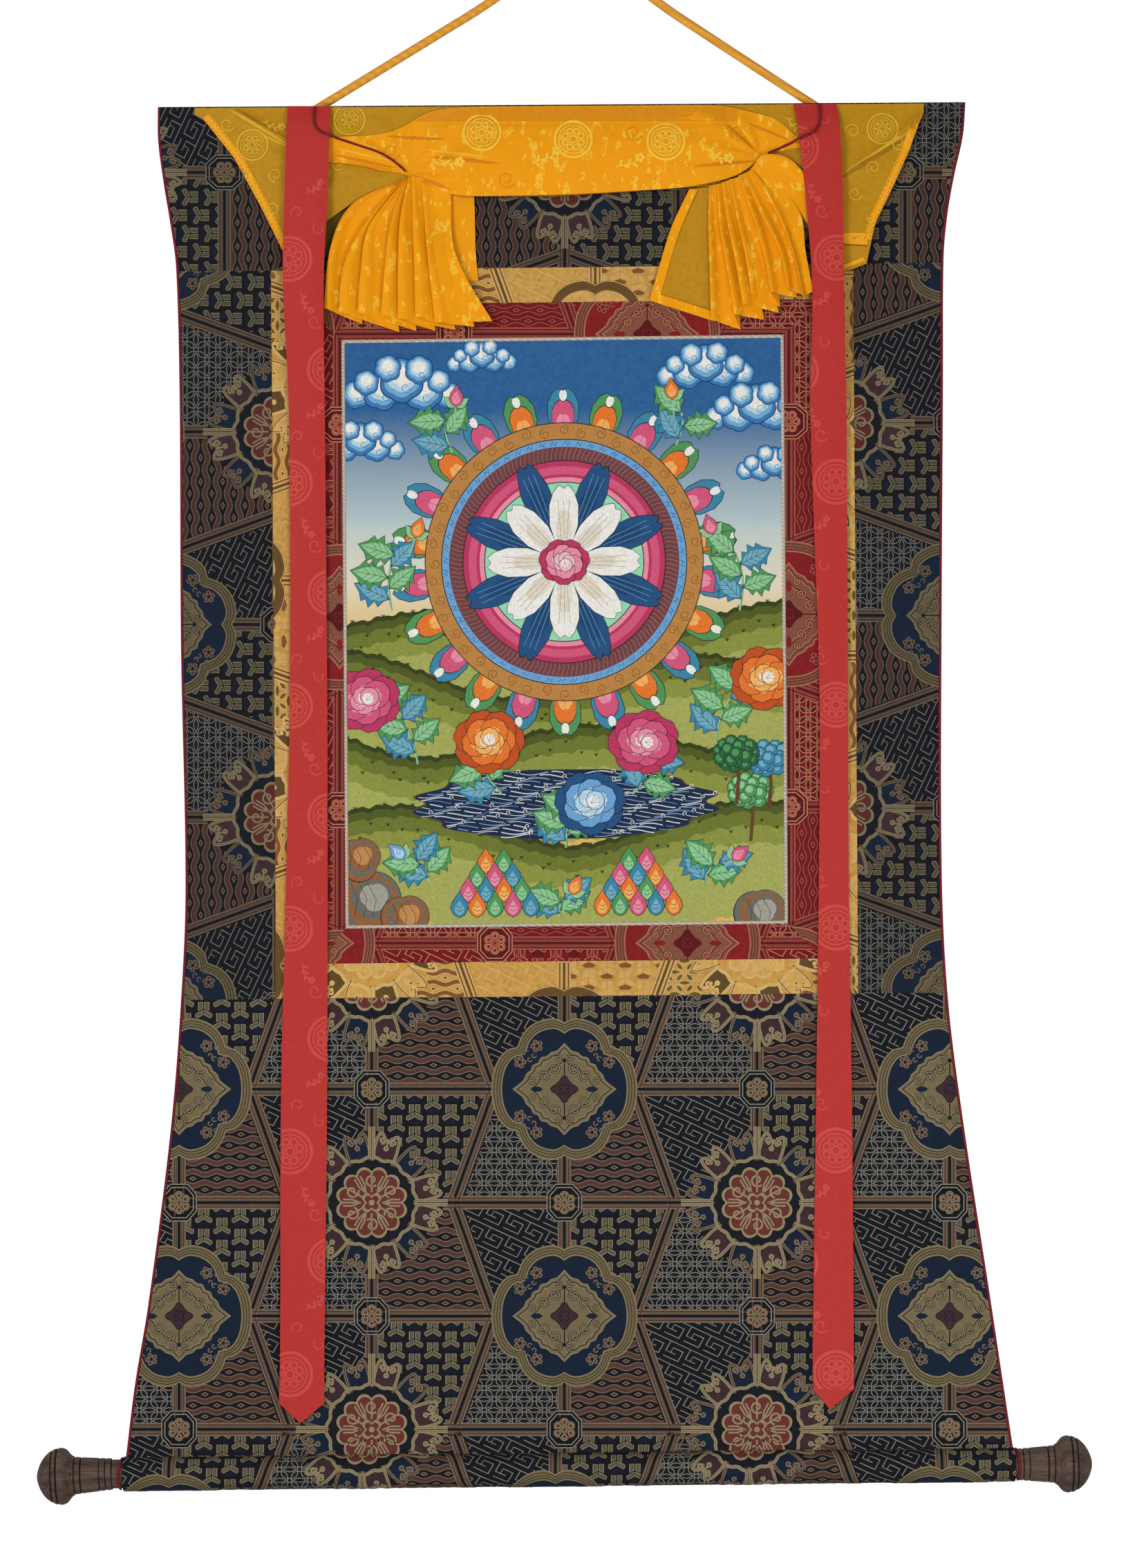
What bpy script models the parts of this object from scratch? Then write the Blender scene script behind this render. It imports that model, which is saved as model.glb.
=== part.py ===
"""Thangka scroll painting, hung by its cord, with veil, ribbons, rod and knobs.

A painted panel with a thin corded edge lies in a red and a gold border, mitred at the corners, inside four
dark brocade panels. The bottom panel ends in a sleeve round a wooden rod with turned knobs. A silk veil is
sewn along the top, gathered up by two ties, and two ribbons hang in front of it.

Lengths below are millimetres. Tables give x to the right of the scroll's middle and the drop below the nail;
depth is how far a face stands in front of the scroll's back. The origin is where the cord bears on the nail,
+Z is up and the picture faces -Y.
"""

import math

import bmesh
import bpy
from mathutils import Vector

MM = 0.001
GAP = 0.3

# The scroll's middle hangs a little to the left of the nail.
MIDDLE_X = -10.2

# Flat rectangles, from the painting outwards, as half widths and as drops of their top and bottom edges
PAINTING_HALF = 189.0
PAINTING_TOP = 339.0
PAINTING_BOTTOM = 844.0
CORDED_EDGE = 3.0
BORDER_WIDTH = 30.3
SCROLL_TOP = 134.4

# Thicknesses
SHEET = 1.5
HEADING_THICKNESS = 2.6
HEADING_HEIGHT = 22.0
CORDED_EDGE_THICKNESS = 2.6
SIDE_CORD = 2.4
VEIL_THICKNESS = 1.6
RIBBON_THICKNESS = 1.4

# The sides' outline: drop, left edge, right edge
SIDE_ROWS = (
    (132.0, -352.5, 348.5),
    (163.2, -352.2, 346.2),
    (199.2, -347.4, 338.4),
    (235.2, -341.4, 332.4),
    (271.2, -336.6, 329.4),
    (379.2, -333.6, 328.8),
    (595.2, -332.4, 327.6),
    (811.2, -328.4, 327.9),
    (919.2, -333.0, 333.6),
    (1027.2, -342.0, 347.4),
    (1171.2, -360.6, 369.6),
    (1243.2, -372.6, 380.4),
    (1306.0, -380.4, 390.0),
)

# How far each level rises to the right: drop at the middle, rise for each millimetre
RISE_ROWS = (
    (130.0, 0.006),
    (336.0, 0.0125),
    (847.0, 0.0112),
    (909.0, 0.0095),
    (1340.0, 0.0106),
)
LEAN_AT_PAINTING = -1.2
LEAN_PER_DROP = 3.6 / 511.0

# Soft unevenness of the hung cloth
RIPPLE = 0.7
RIPPLE_WIDTH = 290.0
RIPPLE_HEIGHT = 470.0
RIPPLE_FADE = 60.0

# Rod, its sleeve and its knobs
ROD_DROP = 1318.1
ROD_RISE = 0.0106
ROD_RADIUS = 12.4
SLEEVE_RADIUS = 14.5
SLEEVE_DEPTH = 0.75
SLEEVE_LEFT = -382.0
SLEEVE_RIGHT = 391.0
KNOB_LEFT = -392.2
KNOB_RIGHT = 393.0
LEFT_KNOB_DROOP = 2.0
ROD_SIDES = 24

# The knobs' turned outline: distance out from the neck's end, radius
KNOB_ROWS = (
    (0.0, 13.4),
    (10.3, 14.2),
    (26.4, 15.6),
    (32.0, 16.4),
    (35.4, 18.6),
    (38.6, 22.4),
    (41.5, 24.0),
    (44.5, 24.4),
    (50.5, 23.0),
    (56.5, 19.0),
    (61.5, 12.4),
    (64.6, 4.6),
)
KNOB_TIP = 65.2

# The veil's lower edge: x, drop, from the left corner over both wings and the swag to the right corner
VEIL_EDGE_ROWS = (
    (-320.4, 143.0),
    (-313.0, 147.0),
    (-285.6, 181.8),
    (-262.0, 225.0),
    (-242.4, 264.6),
    (-231.0, 277.0),
    (-205.8, 235.8),
    (-177.0, 216.0),
    (-133.2, 199.0),
    (-106.8, 211.8),
    (-58.2, 214.2),
    (-9.6, 214.2),
    (132.6, 205.2),
    (160.0, 191.5),
    (172.8, 183.0),
    (200.0, 222.0),
    (222.0, 262.0),
    (246.0, 279.0),
    (262.0, 273.0),
    (269.4, 238.8),
    (286.2, 204.0),
    (299.4, 174.6),
    (308.0, 150.0),
    (312.0, 141.6),
)
VEIL_BELOW_TOP = 1.2
VEIL_CLEAR = 3.4
VEIL_CLEAR_FROM = 26.0
LEFT_TIE_SPOT = (-134.0, 194.0)
RIGHT_TIE_SPOT = (172.5, 178.5)
CREASE = 2.2
CREASE_COUNT = 7.0
CREASE_REACH = 55.0
SWAG_BULGE = 9.0
SWAG_FOLD = 1.5
SWAG_FOLDS = 2.5

# The two gathered falls: share of the way down, left edge x and drop, right edge x and drop
LEFT_FALL_ROWS = (
    (0.0, -140.0, 188.0, -128.0, 188.0),
    (0.2, -162.0, 211.0, -104.0, 208.0),
    (0.4, -187.0, 228.0, -82.0, 220.0),
    (0.6, -201.0, 250.0, -77.0, 252.0),
    (0.8, -207.0, 283.0, -73.0, 287.0),
    (1.0, -207.6, 311.0, -63.6, 323.0),
)
LEFT_HEM_SAG = 14.0
RIGHT_FALL_ROWS = (
    (0.0, 166.0, 173.0, 178.0, 173.0),
    (0.2, 134.0, 201.0, 186.0, 195.0),
    (0.4, 106.0, 212.0, 196.0, 216.0),
    (0.6, 93.0, 238.0, 206.0, 243.0),
    (0.8, 85.0, 268.0, 213.0, 272.0),
    (1.0, 74.4, 305.0, 215.4, 297.0),
)
RIGHT_HEM_SAG = 27.0
FALL_CLEAR = 4.0
FALL_START = 0.5
FALL_ROW_COUNT = 7

# Where the pleats' ridges meet the hem, as shares of the hem from left to right
LEFT_RIDGES = (0.08, 0.2, 0.33, 0.45, 0.55, 0.66, 0.85)
RIGHT_RIDGES = (0.07, 0.4, 0.49, 0.59, 0.7, 0.83, 0.95)
PLEAT_DEPTH = 8.0
STEPS_PER_PLEAT = 4

# Ribbons: drop, left edge, right edge
LEFT_RIBBON_ROWS = (
    (136.2, -239.4, -202.2),
    (223.0, -241.8, -204.6),
    (283.0, -243.0, -207.6),
    (403.0, -238.2, -207.0),
    (643.0, -237.6, -205.2),
    (823.0, -241.2, -204.8),
    (1003.0, -245.4, -205.4),
    (1213.0, -246.0, -207.6),
    (1260.0, -247.2, -207.8),
)
LEFT_RIBBON_TIP = (-228.6, 1277.4)
RIGHT_RIBBON_ROWS = (
    (134.4, 198.6, 235.8),
    (151.0, 201.6, 238.4),
    (223.0, 209.4, 241.2),
    (295.0, 214.4, 241.9),
    (403.0, 213.4, 244.6),
    (643.0, 221.2, 246.0),
    (823.0, 220.6, 247.0),
    (1003.0, 218.4, 249.6),
    (1213.0, 215.6, 251.2),
    (1248.0, 216.0, 251.4),
)
RIGHT_RIBBON_TIP = (230.4, 1265.4)

# How far the ribbons' backs stand forward: distance below their top, depth
RIBBON_DEPTH_ROWS = (
    (0.0, 4.9),
    (4.0, 6.4),
    (12.0, 9.6),
    (30.0, 13.2),
    (80.0, 15.0),
    (180.0, 15.4),
    (235.0, 11.5),
    (330.0, 7.4),
    (520.0, 5.8),
    (800.0, 5.2),
    (1130.0, 4.8),
)

# Hanging cord, from behind the heading at the left over the nail to the right: x, depth, drop
CORD_DIAMETER = 7.4
CORD_ROUTE = (
    (-229.3, -4.4, 145.7),
    (-208.8, -4.4, 133.2),
    (-171.5, -4.2, 110.5),
    (-134.0, -3.6, 87.7),
    (-97.0, -2.9, 65.2),
    (-60.6, -2.0, 43.2),
    (-32.0, -1.1, 25.8),
    (-12.0, -0.5, 12.6),
    (0.0, -0.2, 4.6),
    (5.5, 0.0, 0.0),
    (10.2, 0.0, -1.9),
    (14.9, 0.0, 0.0),
    (20.4, -0.2, 4.6),
    (32.0, -0.5, 12.2),
    (50.0, -1.1, 24.2),
    (78.0, -2.0, 43.2),
    (112.0, -2.9, 65.4),
    (147.0, -3.6, 88.2),
    (182.0, -4.2, 110.9),
    (217.2, -4.4, 133.6),
    (237.4, -4.4, 146.6),
)
CORD_LIFT = -5.6
CORD_STEP = 20.0

# Ties, from the top of each ribbon to the gathered veil: x, drop
TIE_DIAMETER = 2.0
LEFT_TIE_ROUTE = (
    (-216.0, 137.4),
    (-216.4, 146.0),
    (-215.2, 154.6),
    (-209.4, 160.4),
    (-201.0, 163.4),
    (-189.0, 167.2),
    (-174.0, 172.2),
    (-160.8, 176.6),
    (-150.6, 182.0),
    (-142.4, 188.6),
    (-137.2, 193.4),
)
RIGHT_TIE_ROUTE = (
    (220.8, 134.6),
    (221.4, 143.0),
    (220.6, 152.4),
    (216.0, 159.6),
    (207.6, 163.6),
    (199.2, 167.6),
    (189.0, 172.2),
    (182.0, 175.4),
    (176.4, 177.6),
)
TIE_STEP = 6.0
TIE_HALO = 3.2
GATHER_RISE = 1.4
GATHER_REACH = 8.0

# Half the gap that each of two neighbouring cloths keeps to their seam
MITRE = GAP / 2

# How many steps the panels' heights are divided into
TOP_STEPS = 7
SIDE_STEPS = 20
BOTTOM_STEPS = 10


def clear_scene():
    """Start from an empty file."""
    for thing in list(bpy.data.objects):
        bpy.data.objects.remove(thing, do_unlink=True)


def finish_of(name, colour, roughness, sheen=0.0):
    """A plain finish with its own colour."""
    material = bpy.data.materials.new(name)
    material.use_nodes = True
    shader = material.node_tree.nodes["Principled BSDF"]
    shader.inputs["Base Color"].default_value = (*colour, 1.0)
    shader.inputs["Roughness"].default_value = roughness
    shader.inputs["Metallic"].default_value = 0.0
    shader.inputs["Sheen Weight"].default_value = sheen
    return material


def blend(low, high, share):
    """The value a share of the way from low to high."""
    return low + (high - low) * share


def ease(share):
    """A share from 0 to 1, with soft ends."""
    share = min(max(share, 0.0), 1.0)
    return share * share * (3.0 - 2.0 * share)


def grade(rows, index, column):
    """The slope of a table's column at one of its rows."""
    before = rows[max(index - 1, 0)]
    after = rows[min(index + 1, len(rows) - 1)]
    return (after[column] - before[column]) / (after[0] - before[0])


def read_rows(rows, at):
    """A table's further columns, read smoothly where its first column is at."""
    at = min(max(at, rows[0][0]), rows[-1][0])
    index = 0
    while index < len(rows) - 2 and at > rows[index + 1][0]:
        index += 1
    here = rows[index]
    there = rows[index + 1]
    span = there[0] - here[0]
    share = (at - here[0]) / span
    values = []
    for column in range(1, len(here)):
        out = grade(rows, index, column) * span
        into = grade(rows, index + 1, column) * span
        value = (2 * share**3 - 3 * share**2 + 1) * here[column]
        value += (share**3 - 2 * share**2 + share) * out
        value += (3 * share**2 - 2 * share**3) * there[column]
        value += (share**3 - share**2) * into
        values.append(value)
    return values


def lean(level):
    """How far the scroll's middle line has drifted sideways at a level."""
    return LEAN_AT_PAINTING + LEAN_PER_DROP * (level - PAINTING_TOP)


def hung_drop(x, level):
    """The drop at x of a level that is named by its drop at the middle."""
    return level - read_rows(RISE_ROWS, level)[0] * x


def relief(x, drop):
    """Depth of the hung cloth's back face: soft ripples that fade at the heading and at the sleeve."""
    wave = math.sin(math.tau * x / RIPPLE_WIDTH + 0.7) * math.cos(math.tau * drop / RIPPLE_HEIGHT)
    fade = ease((drop - SCROLL_TOP - HEADING_HEIGHT) / RIPPLE_FADE)
    fade *= ease((ROD_DROP - 2.5 * SLEEVE_RADIUS - drop) / RIPPLE_FADE)
    return RIPPLE * (1.0 + wave) * fade


def side_x(side, level):
    """Outer edge of the scroll at a level, on the left (-1) or on the right (1)."""
    left, right = read_rows(SIDE_ROWS, level)
    return left if side < 0 else right


def point(x, depth, drop):
    """A place in the scroll's own sizes as world metres."""
    return Vector(((x + MIDDLE_X) * MM, -depth * MM, -drop * MM))


def add_object(name, mesh, material):
    """Put a mesh in the scene under its name, held by the scroll's empty."""
    mesh.materials.append(material)
    thing = bpy.data.objects.new(name, mesh)
    bpy.context.scene.collection.objects.link(thing)
    thing.parent = bpy.data.objects["scroll"]
    return thing


def mesh_from(name, bm):
    """A mesh whose faces all point out."""
    bmesh.ops.recalc_face_normals(bm, faces=bm.faces)
    mesh = bpy.data.meshes.new(name)
    bm.to_mesh(mesh)
    bm.free()
    return mesh


def sheet(name, columns, rows, spot, thickness, material):
    """A closed sheet: spot(across, down) gives its back's x, depth and drop, thickness(across, down) the rest."""
    bm = bmesh.new()
    back = []
    front = []
    for j in range(rows + 1):
        back_row = []
        front_row = []
        for i in range(columns + 1):
            across = i / columns
            down = j / rows
            x, depth, drop = spot(across, down)
            back_row.append(bm.verts.new(point(x, depth, drop)))
            front_row.append(bm.verts.new(point(x, depth + thickness(across, down), drop)))
        back.append(back_row)
        front.append(front_row)
    for j in range(rows):
        for i in range(columns):
            bm.faces.new((back[j][i], back[j][i + 1], back[j + 1][i + 1], back[j + 1][i]))
            bm.faces.new((front[j][i], front[j + 1][i], front[j + 1][i + 1], front[j][i + 1]))
    for i in range(columns):
        bm.faces.new((back[0][i], front[0][i], front[0][i + 1], back[0][i + 1]))
        bm.faces.new((back[rows][i], back[rows][i + 1], front[rows][i + 1], front[rows][i]))
    for j in range(rows):
        bm.faces.new((back[j][0], back[j + 1][0], front[j + 1][0], front[j][0]))
        bm.faces.new((back[j][columns], front[j][columns], front[j + 1][columns], back[j + 1][columns]))
    return add_object(name, mesh_from(name, bm), material)


def even(thickness):
    """The same thickness all over a sheet."""
    return lambda across, down: thickness


def hung(x, level):
    """The back of the hung cloth at x on a level."""
    drop = hung_drop(x, level)
    return x, relief(x, drop), drop


def painting(material):
    """The painted cloth itself."""

    def spot(across, down):
        level = blend(PAINTING_TOP, PAINTING_BOTTOM, down)
        return hung(lean(level) + blend(-PAINTING_HALF, PAINTING_HALF, across), level)

    sheet("painting", 10, 14, spot, even(SHEET), material)


def frame_strip(name, side, inset, width, steps, thickness, material):
    """One mitred strip of a frame that starts inset millimetres outside the painting."""
    inner_half = PAINTING_HALF + inset + MITRE
    outer_half = PAINTING_HALF + inset + width - MITRE
    inner_top = PAINTING_TOP - inset - MITRE
    outer_top = PAINTING_TOP - inset - width + MITRE
    inner_bottom = PAINTING_BOTTOM + inset + MITRE
    outer_bottom = PAINTING_BOTTOM + inset + width - MITRE

    def spot(across, down):
        if side in ("top", "bottom"):
            half = blend(outer_half, inner_half, down) - GAP
            outer, inner = (outer_top, inner_top) if side == "top" else (outer_bottom, inner_bottom)
            level = blend(outer, inner, down)
            return hung(lean(level) + blend(-half, half, across), level)
        half = blend(outer_half, inner_half, across)
        top = blend(outer_top, inner_top, across) + GAP
        bottom = blend(outer_bottom, inner_bottom, across) - GAP
        level = blend(top, bottom, down)
        return hung(lean(level) + (-half if side == "left" else half), level)

    columns, rows = (steps, 1) if side in ("top", "bottom") else (1, steps)
    sheet(name, columns, rows, spot, even(thickness), material)


def frames(materials):
    """The corded edge, the red border and the gold border, each of four mitred strips."""
    red_inset = CORDED_EDGE
    gold_inset = CORDED_EDGE + BORDER_WIDTH
    for side in ("top", "left", "right", "bottom"):
        frame_strip(f"corded_edge_{side}", side, 0.0, CORDED_EDGE, 12, CORDED_EDGE_THICKNESS, materials["cream"])
        frame_strip(f"red_border_{side}", side, red_inset, BORDER_WIDTH, 14, SHEET, materials["red"])
        frame_strip(f"gold_border_{side}", side, gold_inset, BORDER_WIDTH, 16, SHEET, materials["gold"])


def spread(first, last, steps):
    """Evenly spaced values from first to last."""
    return [blend(first, last, step / steps) for step in range(steps + 1)]


def panel_levels():
    """The levels at which the top, side and bottom panels bend."""
    reach = CORDED_EDGE + 2 * BORDER_WIDTH
    seam_top = PAINTING_TOP - reach
    seam_bottom = PAINTING_BOTTOM + reach
    top = spread(SCROLL_TOP, seam_top - MITRE, TOP_STEPS)
    side = spread(seam_top + MITRE, seam_bottom - MITRE, SIDE_STEPS)
    bottom = spread(seam_bottom + MITRE, ROD_DROP - SLEEVE_RADIUS + 0.8, BOTTOM_STEPS)
    return top, side, bottom


def at_level(levels, down):
    """The level that a share of the way down a sheet's rows stands for."""
    return levels[round(down * (len(levels) - 1))]


def dark_panels(material):
    """The four dark brocade panels round the borders; the bottom one ends in the rod's sleeve."""
    seam_half = PAINTING_HALF + CORDED_EDGE + 2 * BORDER_WIDTH + MITRE
    rim = SIDE_CORD + GAP
    top, side, bottom = panel_levels()

    def full_width(levels):
        def spot(across, down):
            level = at_level(levels, down)
            return hung(blend(side_x(-1, level) + rim, side_x(1, level) - rim, across), level)

        return spot

    def one_side(sign):
        def spot(across, down):
            level = at_level(side, down)
            edges = sorted((side_x(sign, level) - sign * rim, lean(level) + sign * seam_half))
            return hung(blend(*edges, across), level)

        return spot

    def top_thickness(across, down):
        return HEADING_THICKNESS if at_level(top, down) <= SCROLL_TOP + HEADING_HEIGHT else SHEET

    sheet("top_panel", 20, TOP_STEPS, full_width(top), top_thickness, material)
    sheet("left_panel", 2, SIDE_STEPS, one_side(-1), even(SHEET), material)
    sheet("right_panel", 2, SIDE_STEPS, one_side(1), even(SHEET), material)
    bottom_panel = sheet("bottom_panel", 18, BOTTOM_STEPS, full_width(bottom), even(SHEET), material)
    sleeve = rod_form("sleeve_form", SLEEVE_LEFT, SLEEVE_RIGHT, SLEEVE_RADIUS, material)
    join_with(bottom_panel, sleeve, "UNION")
    bore = rod_form("sleeve_bore", SLEEVE_LEFT - 5.0, SLEEVE_RIGHT + 5.0, ROD_RADIUS + GAP, material)
    join_with(bottom_panel, bore, "DIFFERENCE")


def side_cords(material):
    """The thin cord along each long edge, down to the sleeve."""
    top, side, bottom = panel_levels()
    levels = top + side[1:] + bottom[1:-1] + [ROD_DROP - SLEEVE_RADIUS - 0.6]
    for name, sign in (("side_cord_left", -1), ("side_cord_right", 1)):

        def spot(across, down, sign=sign):
            level = at_level(levels, down)
            edge = side_x(sign, level)
            return hung(edge - sign * blend(0.0, SIDE_CORD, across), level)

        sheet(name, 1, len(levels) - 1, spot, even(SIDE_CORD), material)


def join_with(thing, form, operation):
    """Unite an object with a form, or cut the form out of it; the form itself isn't part of the scroll."""
    form.hide_render = True
    form.display_type = "WIRE"
    modifier = thing.modifiers.new(form.name, "BOOLEAN")
    modifier.operation = operation
    modifier.solver = "EXACT"
    modifier.object = form


def turned(name, rows, sides, material):
    """A solid turned about its own +X axis from rows of distance and radius."""
    bm = bmesh.new()
    rings = []
    for distance, radius in rows:
        ring = []
        for k in range(sides):
            angle = math.tau * k / sides
            place = (distance * MM, radius * math.cos(angle) * MM, radius * math.sin(angle) * MM)
            ring.append(bm.verts.new(place))
        rings.append(ring)
    for first, second in zip(rings, rings[1:]):
        for k in range(sides):
            following = (k + 1) % sides
            bm.faces.new((first[k], second[k], second[following], first[following]))
    bm.faces.new(rings[0])
    bm.faces.new(rings[-1])
    mesh = mesh_from(name, bm)
    mesh.shade_smooth()
    mesh.set_sharp_from_angle(angle=math.radians(40.0))
    return add_object(name, mesh, material)


def rod_form(name, left, right, radius, material):
    """A round bar on the rod's axis, between two places on it."""
    bar = turned(name, ((0.0, radius), (right - left, radius)), ROD_SIDES, material)
    bar.location = point(left, SLEEVE_DEPTH, ROD_DROP - ROD_RISE * left)
    bar.rotation_euler = (0.0, -math.atan(ROD_RISE), 0.0)
    return bar


def rod_and_knobs(material):
    """The wooden rod and the turned knob on each of its ends."""
    droop = math.radians(LEFT_KNOB_DROOP)
    rod_left = KNOB_LEFT + GAP + KNOB_ROWS[0][1] * math.sin(droop)
    rod_form("rod", rod_left, KNOB_RIGHT - GAP, ROD_RADIUS, material)
    rows = KNOB_ROWS + ((KNOB_TIP, 1.0),)
    left = turned("knob_left", rows, ROD_SIDES, material)
    left.location = point(KNOB_LEFT, SLEEVE_DEPTH, ROD_DROP - ROD_RISE * KNOB_LEFT)
    left.rotation_euler = (0.0, math.pi - math.atan(ROD_RISE) - droop, 0.0)
    right = turned("knob_right", rows, ROD_SIDES, material)
    right.location = point(KNOB_RIGHT, SLEEVE_DEPTH, ROD_DROP - ROD_RISE * KNOB_RIGHT)
    right.rotation_euler = (0.0, -math.atan(ROD_RISE), 0.0)


def veil_edge(x):
    """Drop of the veil's lower edge at x."""
    for here, there in zip(VEIL_EDGE_ROWS, VEIL_EDGE_ROWS[1:]):
        if x <= there[0]:
            return blend(here[1], there[1], (x - here[0]) / (there[0] - here[0]))
    return VEIL_EDGE_ROWS[-1][1]


def veil_top(x):
    """Drop of the veil's sewn upper edge at x."""
    return hung_drop(x, SCROLL_TOP) + VEIL_BELOW_TOP


def creases(x, drop):
    """Depth of the folds that run out from the nearer tie."""
    tie_x, tie_drop = LEFT_TIE_SPOT if x < (LEFT_TIE_SPOT[0] + RIGHT_TIE_SPOT[0]) / 2 else RIGHT_TIE_SPOT
    away = math.hypot(x - tie_x, drop - tie_drop)
    angle = math.atan2(drop - tie_drop, x - tie_x)
    fold = 0.5 + 0.5 * math.sin(CREASE_COUNT * angle * 1.6)
    return CREASE * fold * ease(away / CREASE_REACH)


def veil_back(x, drop):
    """Depth of the veil's back at a place above its lower edge."""
    fallen = drop - veil_top(x)
    share = ease(fallen / VEIL_CLEAR_FROM)
    sewn = HEADING_THICKNESS - SHEET + GAP
    clear = blend(sewn, VEIL_CLEAR, share) + creases(x, drop) * share
    swag = 0.0
    if LEFT_TIE_SPOT[0] < x < RIGHT_TIE_SPOT[0]:
        span = (x - LEFT_TIE_SPOT[0]) / (RIGHT_TIE_SPOT[0] - LEFT_TIE_SPOT[0])
        height = min(fallen / (veil_edge(x) - veil_top(x)), 1.0)
        swag = SWAG_BULGE * math.sin(math.pi * span) ** 0.5 * math.sin(math.pi * height**1.4 * 0.86)
        swag += SWAG_FOLD * math.sin(math.pi * span) * (1.0 - math.cos(math.tau * SWAG_FOLDS * height)) / 2
    return relief(x, drop) + SHEET + clear + swag


def veil_columns():
    """Where the veil's columns stand: at each point of its lower edge and between distant ones."""
    places = []
    for here, there in zip(VEIL_EDGE_ROWS, VEIL_EDGE_ROWS[1:]):
        parts = max(1, round((there[0] - here[0]) / 14.0))
        places.extend(blend(here[0], there[0], part / parts) for part in range(parts))
    places.append(VEIL_EDGE_ROWS[-1][0])
    return places


def pleat_columns(ridges):
    """Shares across a fall at which its cloth bends: at each ridge and valley, and between them."""
    marks = (0.0, *ridges, 1.0)
    places = []
    for here, there in zip(marks, marks[1:]):
        parts = STEPS_PER_PLEAT if here > 0.0 and there < 1.0 else STEPS_PER_PLEAT // 2
        places.extend(blend(here, there, part / parts) for part in range(parts))
    return places + [1.0]


def pleat(ridges, across):
    """How far a pleat stands out at a share of the hem: 1 on a ridge, 0 in a valley and at both sides."""
    if across <= ridges[0]:
        return ease(across / ridges[0])
    if across >= ridges[-1]:
        return ease((1.0 - across) / (1.0 - ridges[-1]))
    for here, there in zip(ridges, ridges[1:]):
        if across <= there:
            return 0.5 + 0.5 * math.cos(math.tau * (across - here) / (there - here))


def fall(name, rows, tie_spot, hem_sag, ridges, material):
    """A gathered fall: pleats that spread from a tie down to the hem."""
    start = veil_back(*tie_spot) + FALL_START
    places = pleat_columns(ridges)

    def spot(across, down):
        share = places[round(across * (len(places) - 1))]
        left_x, left_drop, right_x, right_drop = read_rows(rows, down)
        x = blend(left_x, right_x, share)
        drop = blend(left_drop, right_drop, share)
        drop += hem_sag * math.sin(math.pi * share) ** 1.2 * down * down
        hanging = relief(x, drop) + SHEET + FALL_CLEAR
        depth = blend(start, hanging, ease(down * 1.8))
        return x, depth + PLEAT_DEPTH * ease(down * 1.5) * pleat(ridges, share), drop

    return sheet(name, len(places) - 1, FALL_ROW_COUNT, spot, even(VEIL_THICKNESS), material)


def veil(material):
    """The silk veil: wings and swag in one sheet, united with the two falls below the ties."""
    places = veil_columns()

    def spot(across, down):
        x = places[round(across * (len(places) - 1))]
        drop = blend(veil_top(x), veil_edge(x), down)
        return x, veil_back(x, drop), drop

    cloth = sheet("veil", len(places) - 1, 7, spot, even(VEIL_THICKNESS), material)
    left = fall("left_fall", LEFT_FALL_ROWS, LEFT_TIE_SPOT, LEFT_HEM_SAG, LEFT_RIDGES, material)
    join_with(cloth, left, "UNION")
    right = fall("right_fall", RIGHT_FALL_ROWS, RIGHT_TIE_SPOT, RIGHT_HEM_SAG, RIGHT_RIDGES, material)
    join_with(cloth, right, "UNION")


def ribbon_back(rows, drop):
    """Depth of a ribbon's back at a drop."""
    return read_rows(RIBBON_DEPTH_ROWS, drop - rows[0][0])[0]


def ribbon(name, rows, tip, material):
    """A ribbon that hangs in front of the scroll and ends in a point."""
    shoulder = rows[-1][0]
    straight = 30

    def spot(across, down):
        step = round(down * (straight + 1))
        if step <= straight:
            drop = blend(rows[0][0], shoulder, step / straight)
            left, right = read_rows(rows, drop)
            x = blend(left, right, across)
        else:
            left, right = read_rows(rows, shoulder)
            x = blend(tip[0], blend(left, right, across), 0.04)
            drop = blend(tip[1], shoulder, 0.04)
        return x, ribbon_back(rows, drop), drop

    sheet(name, 2, straight + 1, spot, even(RIBBON_THICKNESS), material)


def tube(name, places, diameter, material):
    """A cord through places in world metres, with closed ends."""
    curve = bpy.data.curves.new(name, "CURVE")
    curve.dimensions = "3D"
    curve.bevel_depth = diameter * MM / 2
    curve.bevel_resolution = 2
    curve.use_fill_caps = True
    curve.materials.append(material)
    spline = curve.splines.new("POLY")
    spline.points.add(len(places) - 1)
    for spline_point, place in zip(spline.points, places):
        spline_point.co = (*place, 1.0)
    thing = bpy.data.objects.new(name, curve)
    bpy.context.scene.collection.objects.link(thing)
    thing.parent = bpy.data.objects["scroll"]


def smooth_route(route, step):
    """Places about a step apart on the smooth curve through a route's points."""
    rows = [(0.0, *route[0])]
    for here, there in zip(route, route[1:]):
        rows.append((rows[-1][0] + math.dist(here, there), *there))
    count = round(rows[-1][0] / step)
    return [read_rows(rows, rows[-1][0] * k / count) for k in range(count + 1)]


def hanging_cord(material):
    """The cord sewn behind the heading at both ends, which runs over the nail."""
    places = [point(x, depth, drop + CORD_LIFT * ease(1.0 - drop / 60.0)) for x, depth, drop in
              smooth_route(CORD_ROUTE, CORD_STEP)]
    tube("hanging_cord", places, CORD_DIAMETER, material)


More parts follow.
